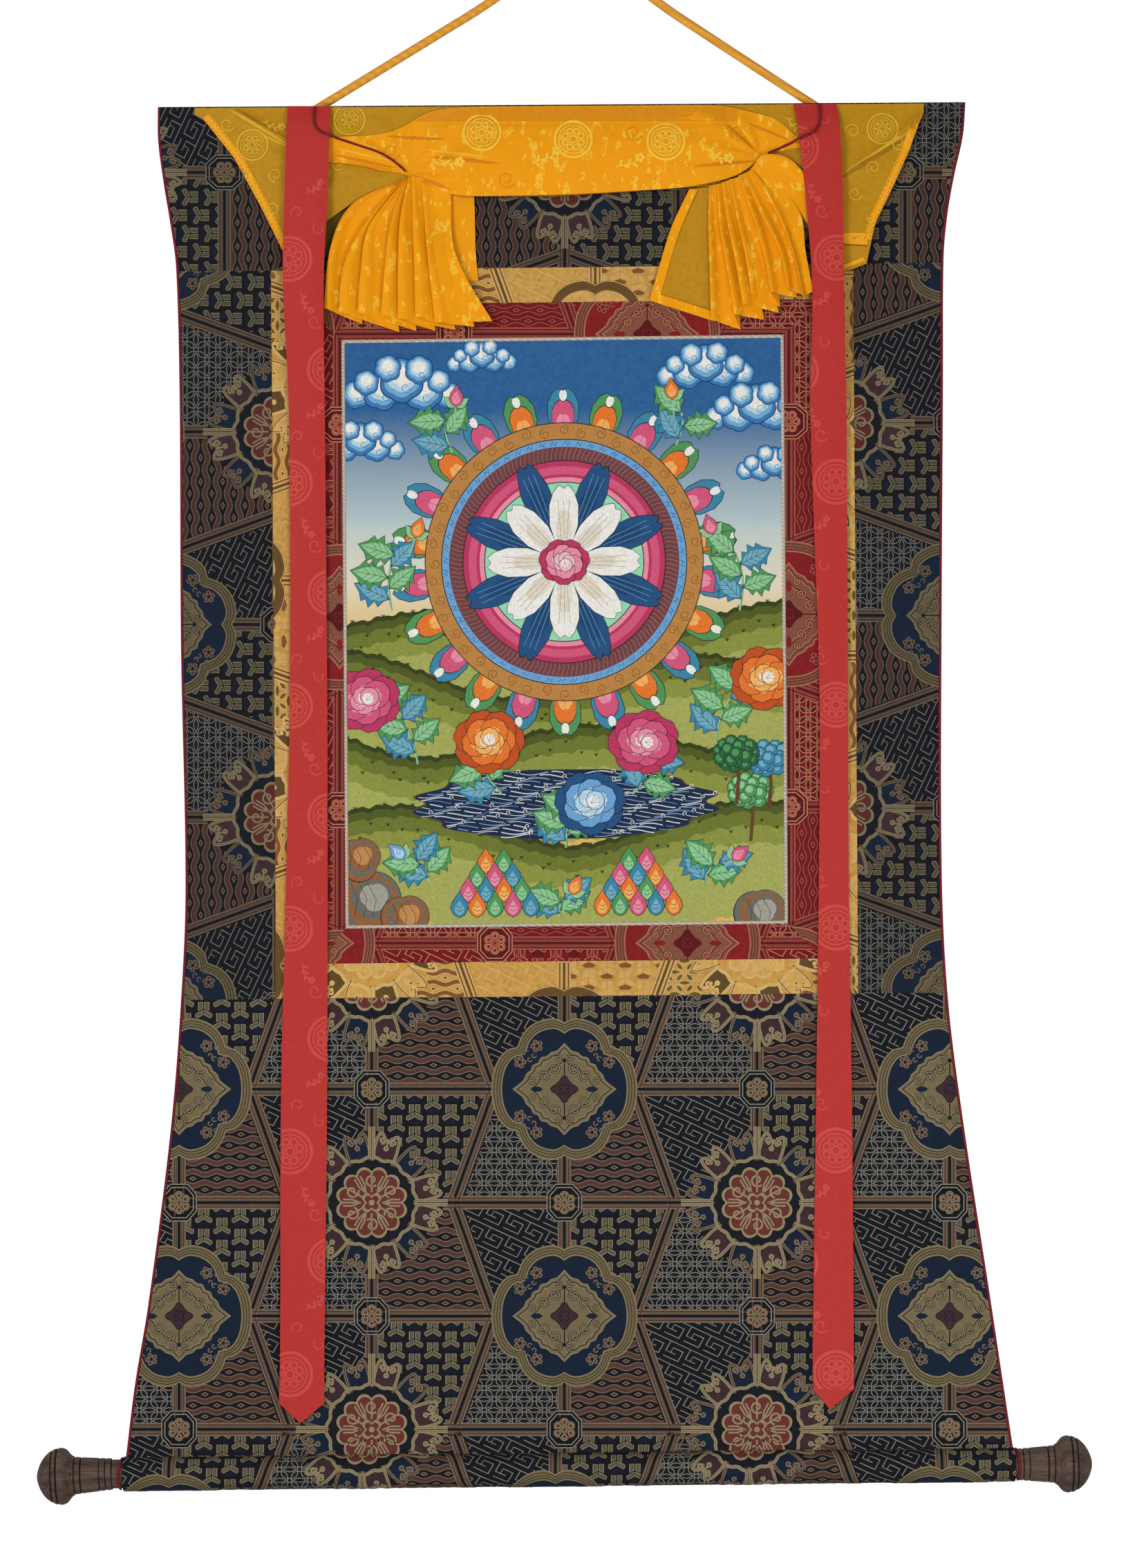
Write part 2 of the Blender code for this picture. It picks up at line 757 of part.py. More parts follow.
def front_at(x, drop, rows, tie_spot):
    """Depth of the foremost face near a place: the veil's, or the ribbon's where it covers the veil."""
    away = math.dist((x, drop), tie_spot)
    over_gathers = GATHER_RISE * ease(2.0 - away / GATHER_REACH)
    foremost = 0.0
    for side in (-1, 0, 1):
        for height in (-1, 0, 1):
            near_x = x + side * TIE_HALO
            near_drop = drop + height * TIE_HALO
            foremost = max(foremost, veil_back(near_x, near_drop) + VEIL_THICKNESS)
            left, right = read_rows(rows, near_drop)
            if left - 0.5 <= near_x <= right + 0.5:
                foremost = max(foremost, ribbon_back(rows, near_drop) + RIBBON_THICKNESS)
    return foremost + over_gathers


def ties(material):
    """The thin tie on each side, over its ribbon and the veil to the gathers."""
    for name, route, rows, tie_spot in (
        ("tie_left", LEFT_TIE_ROUTE, LEFT_RIBBON_ROWS, LEFT_TIE_SPOT),
        ("tie_right", RIGHT_TIE_ROUTE, RIGHT_RIBBON_ROWS, RIGHT_TIE_SPOT),
    ):
        flat = smooth_route(route, TIE_STEP)
        depths = [front_at(x, drop, rows, tie_spot) + TIE_DIAMETER / 2 + GAP for x, drop in flat]
        places = [point(x, depth, drop) for (x, drop), depth in zip(flat, depths)]
        tube(name, places, TIE_DIAMETER, material)


def main():
    clear_scene()
    holder = bpy.data.objects.new("scroll", None)
    bpy.context.scene.collection.objects.link(holder)
    materials = {
        "paint": finish_of("paint", (0.35, 0.45, 0.42), 0.85),
        "cream": finish_of("cream_cord", (0.62, 0.56, 0.48), 0.8),
        "red": finish_of("red_brocade", (0.25, 0.03, 0.035), 0.6, 0.2),
        "gold": finish_of("gold_brocade", (0.55, 0.36, 0.12), 0.45, 0.2),
        "dark": finish_of("dark_brocade", (0.025, 0.028, 0.04), 0.6, 0.2),
        "crimson": finish_of("crimson_cord", (0.28, 0.03, 0.05), 0.7, 0.2),
        "silk": finish_of("orange_silk", (0.85, 0.38, 0.02), 0.45, 0.3),
        "ribbon": finish_of("red_ribbon", (0.55, 0.03, 0.03), 0.45, 0.3),
        "wood": finish_of("turned_wood", (0.12, 0.075, 0.055), 0.65),
    }
    painting(materials["paint"])
    frames(materials)
    dark_panels(materials["dark"])
    side_cords(materials["crimson"])
    rod_and_knobs(materials["wood"])
    veil(materials["silk"])
    ribbon("ribbon_left", LEFT_RIBBON_ROWS, LEFT_RIBBON_TIP, materials["ribbon"])
    ribbon("ribbon_right", RIGHT_RIBBON_ROWS, RIGHT_RIBBON_TIP, materials["ribbon"])
    hanging_cord(materials["silk"])
    ties(materials["crimson"])


main()
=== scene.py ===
"""Thangka scroll painting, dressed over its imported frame.

It has brocades, painted cloth, a veil, ribbons, cords and wood. Lengths are millimetres. Tables and places
give x to the right of the scroll's middle and the drop below the nail, and depth is how far a face stands
in front of the scroll's back, as in the part's own source.
"""

import math

import bpy
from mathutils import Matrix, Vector

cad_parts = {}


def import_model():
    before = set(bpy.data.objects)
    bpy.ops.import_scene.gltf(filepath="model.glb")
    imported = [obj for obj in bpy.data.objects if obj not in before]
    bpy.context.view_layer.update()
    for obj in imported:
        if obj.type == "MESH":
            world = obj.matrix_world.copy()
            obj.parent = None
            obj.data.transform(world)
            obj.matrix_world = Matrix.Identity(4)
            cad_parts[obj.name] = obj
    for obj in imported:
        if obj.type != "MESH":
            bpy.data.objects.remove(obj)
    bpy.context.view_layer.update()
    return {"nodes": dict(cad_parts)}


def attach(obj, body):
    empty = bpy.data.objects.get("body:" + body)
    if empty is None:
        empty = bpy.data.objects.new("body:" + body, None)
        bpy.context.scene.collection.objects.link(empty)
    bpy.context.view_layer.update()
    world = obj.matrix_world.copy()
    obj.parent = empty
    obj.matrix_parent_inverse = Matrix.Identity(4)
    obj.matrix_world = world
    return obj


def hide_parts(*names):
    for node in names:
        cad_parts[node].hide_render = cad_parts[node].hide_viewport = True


MM = 0.001
GAP = 0.3
MIDDLE_X = -10.2

PAINTING_HALF = 189.0
PAINTING_TOP = 339.0
PAINTING_BOTTOM = 844.0
CORDED_EDGE = 3.0
EDGE_CORD_STEP = 2.6
EDGE_CORD_LIFT = 1.25
EDGE_CORD_TWIST = 0.1
BORDER_WIDTH = 30.3
SCROLL_TOP = 134.4
SHEET = 1.5
HEADING_THICKNESS = 2.6
HEADING_HEIGHT = 22.0
HEADING_FADE = 10.0

# The flat widths of the dark panels
TOP_PANEL_WIDTH = 691.0
LEFT_PANEL_WIDTH = 90.0
RIGHT_PANEL_WIDTH = 92.0
BOTTOM_PANEL_WIDTH = 765.0

SIDE_CORD = 2.4
VEIL_THICKNESS = 1.6
RIBBON_THICKNESS = 1.4
MITRE = -0.1
RIM = SIDE_CORD - 0.3

# The sides' outline: drop, left edge, right edge
SIDE_ROWS = (
    (132.0, -352.5, 348.5),
    (163.2, -352.2, 346.2),
    (199.2, -347.4, 338.4),
    (235.2, -341.4, 332.4),
    (271.2, -336.6, 329.4),
    (379.2, -333.6, 328.8),
    (595.2, -332.4, 327.6),
    (811.2, -328.4, 327.9),
    (919.2, -333.0, 333.6),
    (1027.2, -342.0, 347.4),
    (1171.2, -360.6, 369.6),
    (1243.2, -372.6, 380.4),
    (1306.0, -380.4, 390.0),
)

# How far each level rises to the right: drop at the middle, rise for each millimetre
RISE_ROWS = (
    (130.0, 0.006),
    (336.0, 0.0125),
    (847.0, 0.0112),
    (909.0, 0.0095),
    (1340.0, 0.0106),
)
LEAN_AT_PAINTING = -1.2
LEAN_PER_DROP = 3.6 / 511.0

RIPPLE = 0.7
RIPPLE_WIDTH = 290.0
RIPPLE_HEIGHT = 470.0
RIPPLE_FADE = 60.0

ROD_DROP = 1318.1
ROD_RISE = 0.0106
SLEEVE_RADIUS = 14.5
SLEEVE_DEPTH = 0.75
SLEEVE_LEFT = -382.0
SLEEVE_RIGHT = 391.0
SLEEVE_SEAM = ROD_DROP - SLEEVE_RADIUS + 0.8
SLEEVE_PUCKER = 0.35
SLEEVE_PUCKER_WIDTH = 7.5
MOUTH_CORD_BULGE = 2.2
SLEEVE_WRAP = 1.9
SLEEVE_SEAM_ANGLE = 0.06
SLEEVE_FLOWER_SHIFT = (-7.8, 4.0)
SLEEVE_STRIP = 2.5
KNOB_LEFT = -392.2
KNOB_RIGHT = 393.0
LEFT_KNOB_DROOP = 2.0

# The knobs' turned outline: distance out from the neck's end, radius
KNOB_ROWS = (
    (0.0, 13.4),
    (10.3, 14.2),
    (26.4, 15.6),
    (32.0, 16.4),
    (35.4, 18.6),
    (38.6, 22.4),
    (41.5, 24.0),
    (44.5, 24.4),
    (50.5, 23.0),
    (56.5, 19.0),
    (61.5, 12.4),
    (64.6, 4.6),
    (65.2, 1.0),
)
KNOB_GROOVES = (5.1, 10.3, 26.4, 31.7, 46.5, 51.2)
GROOVE_DEPTH = 0.75
GROOVE_HALF = 0.85
# How far from a groove's middle its faces get the darker wood that is painted shade
GROOVE_SHADE_HALF = 0.62

# Hanging cord, from behind the heading at the left over the nail to the right: x, depth, drop
CORD_DIAMETER = 7.4
CORD_ROUTE = (
    (-229.3, -4.4, 145.7),
    (-208.8, -4.4, 133.2),
    (-171.5, -4.2, 110.5),
    (-134.0, -3.6, 87.7),
    (-97.0, -2.9, 65.2),
    (-60.6, -2.0, 43.2),
    (-32.0, -1.1, 25.8),
    (-12.0, -0.5, 12.6),
    (0.0, -0.2, 4.6),
    (5.5, 0.0, 0.0),
    (10.2, 0.0, -1.9),
    (14.9, 0.0, 0.0),
    (20.4, -0.2, 4.6),
    (32.0, -0.5, 12.2),
    (50.0, -1.1, 24.2),
    (78.0, -2.0, 43.2),
    (112.0, -2.9, 65.4),
    (147.0, -3.6, 88.2),
    (182.0, -4.2, 110.9),
    (217.2, -4.4, 133.6),
    (237.4, -4.4, 146.6),
)
CORD_LIFT = -5.6
CORD_LIFT_REACH = 60.0
CORD_STEP = 20.0

TIE_DIAMETER = 2.0
LEFT_TIE_ROUTE = (
    (-216.0, 137.4),
    (-216.4, 146.0),
    (-215.2, 154.6),
    (-209.4, 160.4),
    (-201.0, 163.4),
    (-189.0, 167.2),
    (-174.0, 172.2),
    (-160.8, 176.6),
    (-150.6, 182.0),
    (-142.4, 188.6),
    (-137.2, 193.4),
)
RIGHT_TIE_ROUTE = (
    (220.8, 134.6),
    (221.4, 143.0),
    (220.6, 152.4),
    (216.0, 159.6),
    (207.6, 163.6),
    (199.2, 167.6),
    (189.0, 172.2),
    (182.0, 175.4),
    (176.4, 177.6),
)
TIE_STEP = 6.0
TIE_HALO = 3.2
GATHER_RISE = 1.4
GATHER_REACH = 8.0

# The veil's lower edge: x, drop, from the left corner over both wings and the swag to the right corner
VEIL_EDGE_ROWS = (
    (-320.4, 143.0),
    (-313.0, 147.0),
    (-285.6, 181.8),
    (-262.0, 225.0),
    (-242.4, 264.6),
    (-231.0, 277.0),
    (-205.8, 235.8),
    (-177.0, 216.0),
    (-133.2, 199.0),
    (-106.8, 211.8),
    (-58.2, 214.2),
    (-9.6, 214.2),
    (132.6, 205.2),
    (160.0, 191.5),
    (172.8, 183.0),
    (200.0, 222.0),
    (222.0, 262.0),
    (246.0, 279.0),
    (262.0, 273.0),
    (269.4, 238.8),
    (286.2, 204.0),
    (299.4, 174.6),
    (308.0, 150.0),
    (312.0, 141.6),
)
VEIL_BELOW_TOP = 1.2
VEIL_CLEAR = 3.4
VEIL_CLEAR_FROM = 26.0
VEIL_LAYER = 0.5
SWAG_LAYER = 0.6
PLEAT_LAYER = 0.45
DAMASK_LIFT = 0.8
HEM_SPANS = ((-316.0, -236.0), (309.0, 265.0))
HEM_INSET = 3.7
HEM_WIDTH = 6.6
STITCH_INSETS = (1.6, 5.8)
STITCH_LENGTH = 2.2
RIBBON_CLOTH = 0.8
RIBBON_PATTERN_STEP = 0.05
LEFT_TIE_SPOT = (-134.0, 194.0)
RIGHT_TIE_SPOT = (172.5, 178.5)
RIGHT_GATHER = (171.5, 180.5)
CREASE = 2.2
CREASE_COUNT = 7.0
CREASE_REACH = 55.0
SWAG_BULGE = 9.0
SWAG_FOLD = 1.5
SWAG_FOLDS = 2.5
SWAG_CLEAR = 3.0
RAY_START = 14.0
ROUND_SHARE = 0.86
SHELF_RISE = 0.8
SHELF_SHARE = 0.2
SHELF_WIDTH = 0.07
ROLL_DROP = 151.5
ROLL_CREASE = 1.3
ROLL_CREASE_WIDTH = 2.2

# Where the swag is full and where the cloth behind it lies flat: its two ends, each with its reach
SWELL_LEFT = -142.0
SWELL_LEFT_REACH = 66.0
SWELL_RIGHT = 176.0
SWELL_RIGHT_REACH = 52.0
BEHIND_LEFT = -150.0
BEHIND_LEFT_REACH = 30.0
BEHIND_RIGHT = 178.0
BEHIND_RIGHT_REACH = 16.0
BEHIND_CLEAR = 1.5

# Ribbons: drop, left edge, right edge
LEFT_RIBBON_ROWS = (
    (136.2, -239.4, -202.2),
    (223.0, -241.8, -204.6),
    (283.0, -243.0, -207.6),
    (403.0, -238.2, -207.0),
    (643.0, -237.6, -205.2),
    (823.0, -241.2, -204.8),
    (1003.0, -245.4, -205.4),
    (1213.0, -246.0, -207.6),
    (1260.0, -247.2, -207.8),
)
LEFT_RIBBON_TIP = (-228.6, 1277.4)
RIGHT_RIBBON_ROWS = (
    (134.4, 198.6, 235.8),
    (151.0, 201.6, 238.4),
    (223.0, 209.4, 241.2),
    (295.0, 214.4, 241.9),
    (403.0, 213.4, 244.6),
    (643.0, 221.2, 246.0),
    (823.0, 220.6, 247.0),
    (1003.0, 218.4, 249.6),
    (1213.0, 215.6, 251.2),
    (1248.0, 216.0, 251.4),
)
RIGHT_RIBBON_TIP = (230.4, 1265.4)
TIE_WRINKLE_DROP = 163.0
TIE_WRINKLE_REACH = 22.0
RIBBON_REPEAT = 193.0
RIGHT_RIBBON_SHIFT = -96.0
RIBBON_DEPTH_ROWS = (
    (0.0, 4.9),
    (4.0, 6.4),
    (12.0, 9.6),
    (30.0, 13.2),
    (80.0, 15.0),
    (180.0, 15.4),
    (235.0, 11.5),
    (330.0, 7.4),
    (520.0, 5.8),
    (800.0, 5.2),
    (1130.0, 4.8),
)

# The photograph's frame, at 0.6 mm to a pixel at the painted cloth
PHOTO_HEIGHT = 2268
PIXEL = 0.6
PHOTO_NAIL_ROW = -72
CAMERA_AWAY = 3400.0
SENSOR = 36.0

# The brocades' repeat: half its width and half its height
HALF_REPEAT_X = 167.1
HALF_REPEAT_Y = 98.4
FINE_STEP = 14.0
COVERED_RADIUS = 54.0
LAYER = 0.08

# How much brighter than its own colour a face shows in the studio's light
STUDIO_GAIN = 1.18

# How a colour on a screen, 0 to 1, stands for light
SCREEN_OFFSET = 0.055
SCREEN_POWER = 2.4

# Brightness of the white surroundings as a light, next to the white that shows behind the scroll
AMBIENT = 0.43

# The studio's lamps, in metres: name, place, power in watts, size
LAMPS = (
    ("key_lamp", (-1.5, -2.6, 0.1), 36.0, 0.9),
    ("low_lamp", (0.6, -1.8, -1.6), 20.0, 0.8),
)
LAMP_AIM = (0.0, 0.0, -0.6)

# The floor, in metres
FLOOR_HEIGHT = -1.75
FLOOR_HALF = 1.3
FLOOR_FRONT = -1.6
FLOOR_BACK = 0.9

# Outlines over a quarter turn: degrees from the horizontal axis, radius in millimetres
MEDALLION_ROWS = (
    (0.0, 63.2), (20.0, 63.0), (30.0, 61.5), (36.0, 59.0), (41.0, 54.8), (46.0, 56.5), (55.0, 60.5),
    (66.0, 62.8), (80.0, 62.3), (86.0, 60.0), (90.0, 57.5),
)
FIGURE_ROWS = (
    (0.0, 45.0), (5.0, 40.5), (12.0, 36.4), (22.0, 35.6), (29.0, 33.4), (38.0, 34.4), (45.0, 32.0),
    (53.0, 34.2), (62.0, 32.4), (70.0, 34.0), (79.0, 34.0), (85.0, 36.6), (90.0, 40.0),
)

# Where a flower of the pattern lies on each strip: x, drop
BORDER_FLOWERS = {
    ("red", "top"): (-95.0, 235.0),
    ("red", "left"): (-293.0, 412.0),
    ("red", "right"): (96.6, 409.2),
    ("red", "bottom"): (-60.0, 960.0),
    ("gold", "top"): (-140.0, 250.0),
    ("gold", "left"): (-205.0, 380.0),
    ("gold", "right"): (225.0, 445.0),
    ("gold", "bottom"): (-167.0, 862.0),
}

# Where a flower of the pattern lies on each dark panel: x, drop
HEADING_FLOWER = (0.6, 193.2)
LEFT_FLOWER = (-247.2, 418.2)
RIGHT_FLOWER = (238.2, 410.4)
BOTTOM_FLOWER = (-166.8, 1086.6)

# How far past a cloth's edge its pattern's shapes are still looked at, and past a box its repeats
BOX_MARGIN = 16.0
REPEAT_MARGIN = 190.0

# A box that holds the whole scroll
WHOLE = (-1000.0, -1000.0, 1000.0, 2000.0)

# The picture's layers are counted over cells of this size, each layer this much higher
CELL = 2.5
PAINT = 0.012
PICTURE_LIFT = 0.03
PICTURE_STRIP = 14.0

# How much the paint's brightness varies
MOTTLE = 0.13

# The painting's colours, as they show on a screen
PAINTING_COLOURS = {
    "ink": (30, 40, 52), "ink_blue": (30, 66, 112), "cloud_blue": (62, 124, 182),
    "cloud_mid": (120, 174, 212), "cloud_pale": (184, 216, 232), "white": (240, 238, 230),
    "cream": (226, 220, 204), "figure_blue": (40, 84, 130), "deep_blue": (34, 72, 114),
    "sky_rim": (112, 166, 214), "gold": (190, 134, 70), "gold_dark": (132, 84, 42),
    "maroon": (118, 68, 70), "ray": (178, 132, 130), "mint": (152, 222, 178), "rose": (192, 58, 98),
    "pink": (214, 90, 126), "pink_light": (236, 146, 168), "rose_pale": (244, 190, 198),
    "orange_dark": (196, 84, 36), "orange": (232, 122, 48), "orange_light": (246, 178, 98),
    "teal": (64, 136, 168), "teal_light": (116, 176, 196), "leaf": (84, 152, 92),
    "leaf_light": (146, 204, 150), "leaf_dark": (46, 104, 62), "grass_dark": (58, 68, 30),
    "grass_deep": (84, 94, 38), "grass": (112, 122, 50), "grass_light": (142, 150, 68),
    "grass_pale": (168, 172, 92), "grass_ink": (40, 48, 26), "earth": (104, 70, 42),
    "water": (30, 46, 74), "foam": (206, 216, 222), "foam_blue": (112, 142, 178),
    "rock": (150, 98, 58), "rock_light": (196, 140, 84), "rock_grey": (112, 108, 98),
    "rock_pale": (164, 162, 148),
}

# Front layer of the swag: x, drop of its upper edge, drop of its lower edge
SWAG_ROWS = (
    (-206.0, 164.3, 184.5),
    (-176.0, 162.3, 188.5),
    (-156.0, 160.2, 193.0),
    (-140.0, 154.5, 195.2),
    (-126.0, 146.0, 200.5),
    (-112.0, 140.2, 208.6),
    (-96.0, 138.0, 213.4),
    (-75.0, 137.0, 215.0),
    (-45.0, 136.6, 214.6),
    (10.0, 136.2, 213.0),
    (62.0, 135.9, 210.0),
    (104.0, 135.6, 207.0),
    (130.0, 135.9, 202.4),
    (150.0, 138.6, 196.0),
    (163.0, 141.5, 187.5),
    (171.0, 143.5, 181.5),
    (183.0, 147.6, 177.0),
    (195.0, 157.0, 174.0),
    (205.0, 167.0, 172.5),
)

# Folds of the falls from left to right, each from the tie to the hem in four places: x, drop. Every other
# one is the far edge of a face, which the next face covers.
LEFT_FOLDS = (
    ((-140.3, 199.7), (-183.5, 221.6), (-202.3, 259.3), (-207.8, 311.4)),
    ((-139.5, 199.7), (-162.3, 227.9), (-174.8, 271.8), (-174.8, 325.2)),
    ((-140.3, 199.7), (-171.7, 237.3), (-190.5, 275.0), (-194.9, 315.0)),
    ((-137.2, 199.7), (-149.7, 234.2), (-149.7, 278.1), (-142.7, 332.2)),
    ((-137.2, 198.9), (-168.6, 240.4), (-175.6, 278.1), (-178.8, 315.8)),
    ((-134.8, 198.1), (-143.5, 240.4), (-134.0, 285.9), (-127.8, 331.4)),
    ((-135.6, 198.1), (-148.9, 234.2), (-154.4, 271.8), (-158.4, 318.1)),
    ((-132.5, 198.1), (-129.3, 240.4), (-118.4, 285.9), (-111.3, 331.4)),
    ((-134.8, 197.8), (-141.6, 234.2), (-143.5, 275.0), (-143.5, 321.2)),
    ((-129.3, 198.1), (-118.4, 240.4), (-102.7, 285.9), (-94.0, 330.7)),
    ((-131.7, 196.5), (-130.9, 234.2), (-129.3, 276.5), (-128.5, 319.7)),
    ((-121.5, 199.7), (-104.2, 243.6), (-88.5, 287.5), (-77.6, 328.3)),
    ((-123.8, 202.8), (-119.9, 243.6), (-116.8, 278.1), (-111.3, 325.2)),
    ((-98.0, 212.2), (-96.4, 254.6), (-85.4, 284.4), (-61.9, 323.6)),
)
LEFT_BACK_FOLDS = (
    ((-118.0, 206.0), (-115.0, 237.0), (-112.0, 262.0), (-109.0, 287.0)),
    ((-77.9, 212.2), (-77.2, 237.3), (-76.6, 262.4), (-74.4, 287.5)),
)
RIGHT_FOLDS = (
    ((125.5, 205.4), (125.0, 242.4), (126.0, 281.1), (127.2, 321.5)),
    ((134.8, 203.7), (141.5, 245.8), (149.1, 287.9), (153.3, 329.9)),
    ((132.3, 204.5), (134.8, 242.4), (141.5, 281.1), (147.4, 317.3)),
    ((141.5, 201.2), (153.3, 242.4), (165.1, 282.8), (173.5, 321.5)),
    ((136.5, 202.9), (141.5, 239.0), (148.3, 272.7), (154.2, 308.1)),
    ((148.3, 198.6), (161.7, 235.7), (176.9, 276.1), (186.1, 315.6)),
    ((143.2, 200.3), (149.9, 235.7), (156.7, 267.7), (161.7, 299.7)),
    ((153.3, 197.0), (166.8, 230.6), (180.2, 269.3), (187.3, 310.6)),
    ((150.8, 197.0), (161.7, 228.9), (171.8, 262.6), (178.6, 298.8)),
    ((160.0, 192.7), (180.2, 228.9), (192.0, 260.9), (202.1, 303.0)),
    ((155.8, 196.1), (170.1, 230.6), (186.1, 264.3), (192.9, 296.3)),
    ((163.4, 190.2), (190.3, 225.6), (205.5, 264.3), (210.5, 302.2)),
    ((161.7, 190.6), (180.2, 223.9), (197.1, 264.3), (205.8, 303.0)),
    ((166.8, 187.7), (202.1, 225.6), (208.9, 264.3), (215.3, 298.0)),
)
SHEER_FOLDS = (
    ((108.7, 207.9), (92.7, 242.4), (80.9, 281.1), (74.2, 304.7)),
    ((127.5, 206.0), (128.0, 242.4), (129.0, 281.1), (130.5, 323.0)),
)
# The gap behind the left fall's big fold: single-layer veil, coloured dark as painted shade
SHADE_FOLDS = (
    ((-209.0, 233.0), (-209.0, 244.0), (-209.0, 256.0), (-208.0, 268.0)),
    ((-181.0, 214.0), (-188.0, 228.0), (-193.0, 242.0), (-200.0, 262.0)),
)
FLAP_SIDE_HEM = (
    ((108.7, 207.9), (92.7, 242.4), (80.9, 281.1), (74.2, 304.7)),
    ((116.0, 208.4), (100.2, 244.6), (88.4, 283.0), (82.0, 306.8)),
)
FLAP_LOW_HEM = (
    ((76.0, 297.4), (94.0, 303.0), (112.0, 308.8), (129.6, 314.6)),
    ((74.2, 304.7), (93.0, 310.6), (112.0, 316.6), (130.0, 322.6)),
)
PUFF_FOLDS = (
    ((170.1, 180.1), (180.2, 178.9), (195.4, 183.5), (212.0, 200.0)),
    ((162.6, 190.6), (178.6, 207.1), (193.7, 215.5), (214.0, 243.0)),
)

# Folds that run out from each tie: direction in degrees (0 to the right, 90 up), width, height, reach
LEFT_RAYS = (
    (18.0, 6.0, 3.0, 100.0), (46.0, 8.0, 2.8, 48.0), (100.0, 12.0, 1.2, 40.0),
    (150.0, 6.0, 2.6, 70.0), (162.0, 4.5, 1.6, 80.0), (174.0, 4.0, 2.8, 80.0),
    (186.0, 4.0, 2.6, 80.0), (-12.0, 6.0, 2.6, 75.0),
)
RIGHT_RAYS = (
    (75.0, 9.0, 1.6, 40.0), (118.0, 8.0, 2.8, 50.0), (146.0, 8.0, 2.6, 80.0),
    (172.0, 6.0, 2.2, 75.0), (30.0, 9.0, 1.6, 40.0),
)

# Folds that run from the ties up across the wings: start and end (x, drop), height
WING_RIDGES = (
    ((244.0, 200.0), (320.0, 137.0), 4.0),
    ((-212.0, 181.0), (-294.0, 136.0), 3.4),
    ((-206.0, 192.0), (-262.0, 176.0), 2.4),
    ((-200.0, 206.0), (-244.0, 222.0), 2.4),
)
RIDGE_WIDTH = 4.5

# Painted highlights and painted shade along the finer folds, as their lit and shaded flanks: start and end
# (x, drop), half width, colour
SWAG_STREAKS = (
    ((-154.4, 162.7), (-102.0, 165.6), 1.3, "painted_fold_shade"),
    ((-116.6, 180.9), (-56.0, 187.5), 1.5, "painted_fold_shade"),
    ((-128.0, 173.4), (-61.3, 183.1), 1.2, "painted_fold_highlight"),
    ((-131.0, 196.2), (-97.7, 209.4), 1.4, "painted_fold_shade"),
    ((-180.5, 165.6), (-140.4, 186.5), 1.1, "painted_fold_highlight"),
    ((-199.4, 178.7), (-145.6, 190.4), 1.2, "painted_fold_shade"),
    ((-199.4, 172.9), (-148.5, 184.5), 1.0, "painted_fold_highlight"),
    ((169.0, 177.5), (140.0, 152.0), 1.3, "painted_fold_shade"),
    ((166.0, 170.0), (150.0, 152.5), 0.9, "painted_fold_highlight"),
    ((195.0, 166.0), (158.0, 150.5), 1.2, "painted_fold_shade"),
    ((166.0, 184.0), (112.0, 190.0), 1.3, "painted_fold_shade"),
)
WING_STREAKS = (
    ((240.0, 195.5), (306.0, 154.5), 1.3, "wing_damask_and_highlight"),
    ((240.0, 199.2), (304.0, 159.4), 1.6, "dim"),
    ((-292.0, 138.0), (-238.0, 170.5), 1.3, "wing_damask_and_highlight"),
    ((-286.0, 137.6), (-238.0, 165.6), 1.4, "dim"),
    ((-264.0, 160.0), (-238.0, 172.4), 0.9, "wing_damask_and_highlight"),
    ((-206.0, 180.5), (-170.0, 189.0), 0.9, "wing_damask_and_highlight"),
)


def blend(low, high, share):
    """The value a share of the way from low to high."""
    return low + (high - low) * share


def ease(share):
    """A share from 0 to 1, with soft ends."""
    share = min(max(share, 0.0), 1.0)
    return share * share * (3.0 - 2.0 * share)


def grade(rows, index, column):
    """The slope of a table's column at one of its rows."""
    before = rows[max(index - 1, 0)]
    after = rows[min(index + 1, len(rows) - 1)]
    return (after[column] - before[column]) / (after[0] - before[0])


def read_rows(rows, at):
    """A table's further columns, read smoothly where its first column is at."""
    at = min(max(at, rows[0][0]), rows[-1][0])
    index = 0
    while index < len(rows) - 2 and at > rows[index + 1][0]:
        index += 1
    here = rows[index]
    there = rows[index + 1]
    span = there[0] - here[0]
    share = (at - here[0]) / span
    values = []
    for column in range(1, len(here)):
        out = grade(rows, index, column) * span
        into = grade(rows, index + 1, column) * span
        value = (2 * share**3 - 3 * share**2 + 1) * here[column]
        value += (share**3 - 2 * share**2 + share) * out
        value += (3 * share**2 - 2 * share**3) * there[column]
        value += (share**3 - share**2) * into
        values.append(value)
    return values


def lean(level):
    """How far the scroll's middle line has drifted sideways at a level."""
    return LEAN_AT_PAINTING + LEAN_PER_DROP * (level - PAINTING_TOP)


def hung_drop(x, level):
    """The drop at x of a level that is named by its drop at the middle."""
    return level - read_rows(RISE_ROWS, level)[0] * x


def level_at(x, drop):
    """The level on which a place lies."""
    return drop + read_rows(RISE_ROWS, drop)[0] * x


def relief(x, drop):
    """Depth of the hung cloth's back face: soft ripples that fade at the heading and at the sleeve."""
    wave = math.sin(math.tau * x / RIPPLE_WIDTH + 0.7) * math.cos(math.tau * drop / RIPPLE_HEIGHT)
    fade = ease((drop - SCROLL_TOP - HEADING_HEIGHT) / RIPPLE_FADE)
    fade *= ease((ROD_DROP - 2.5 * SLEEVE_RADIUS - drop) / RIPPLE_FADE)
    return RIPPLE * (1.0 + wave) * fade


def side_x(side, level):
    """Outer edge of the scroll at a level, on the left (-1) or on the right (1)."""
    left, right = read_rows(SIDE_ROWS, level)
    return left if side < 0 else right


def point(x, depth, drop):
    """A place in the scroll's own sizes as world metres."""
    return Vector(((x + MIDDLE_X) * MM, -depth * MM, -drop * MM))


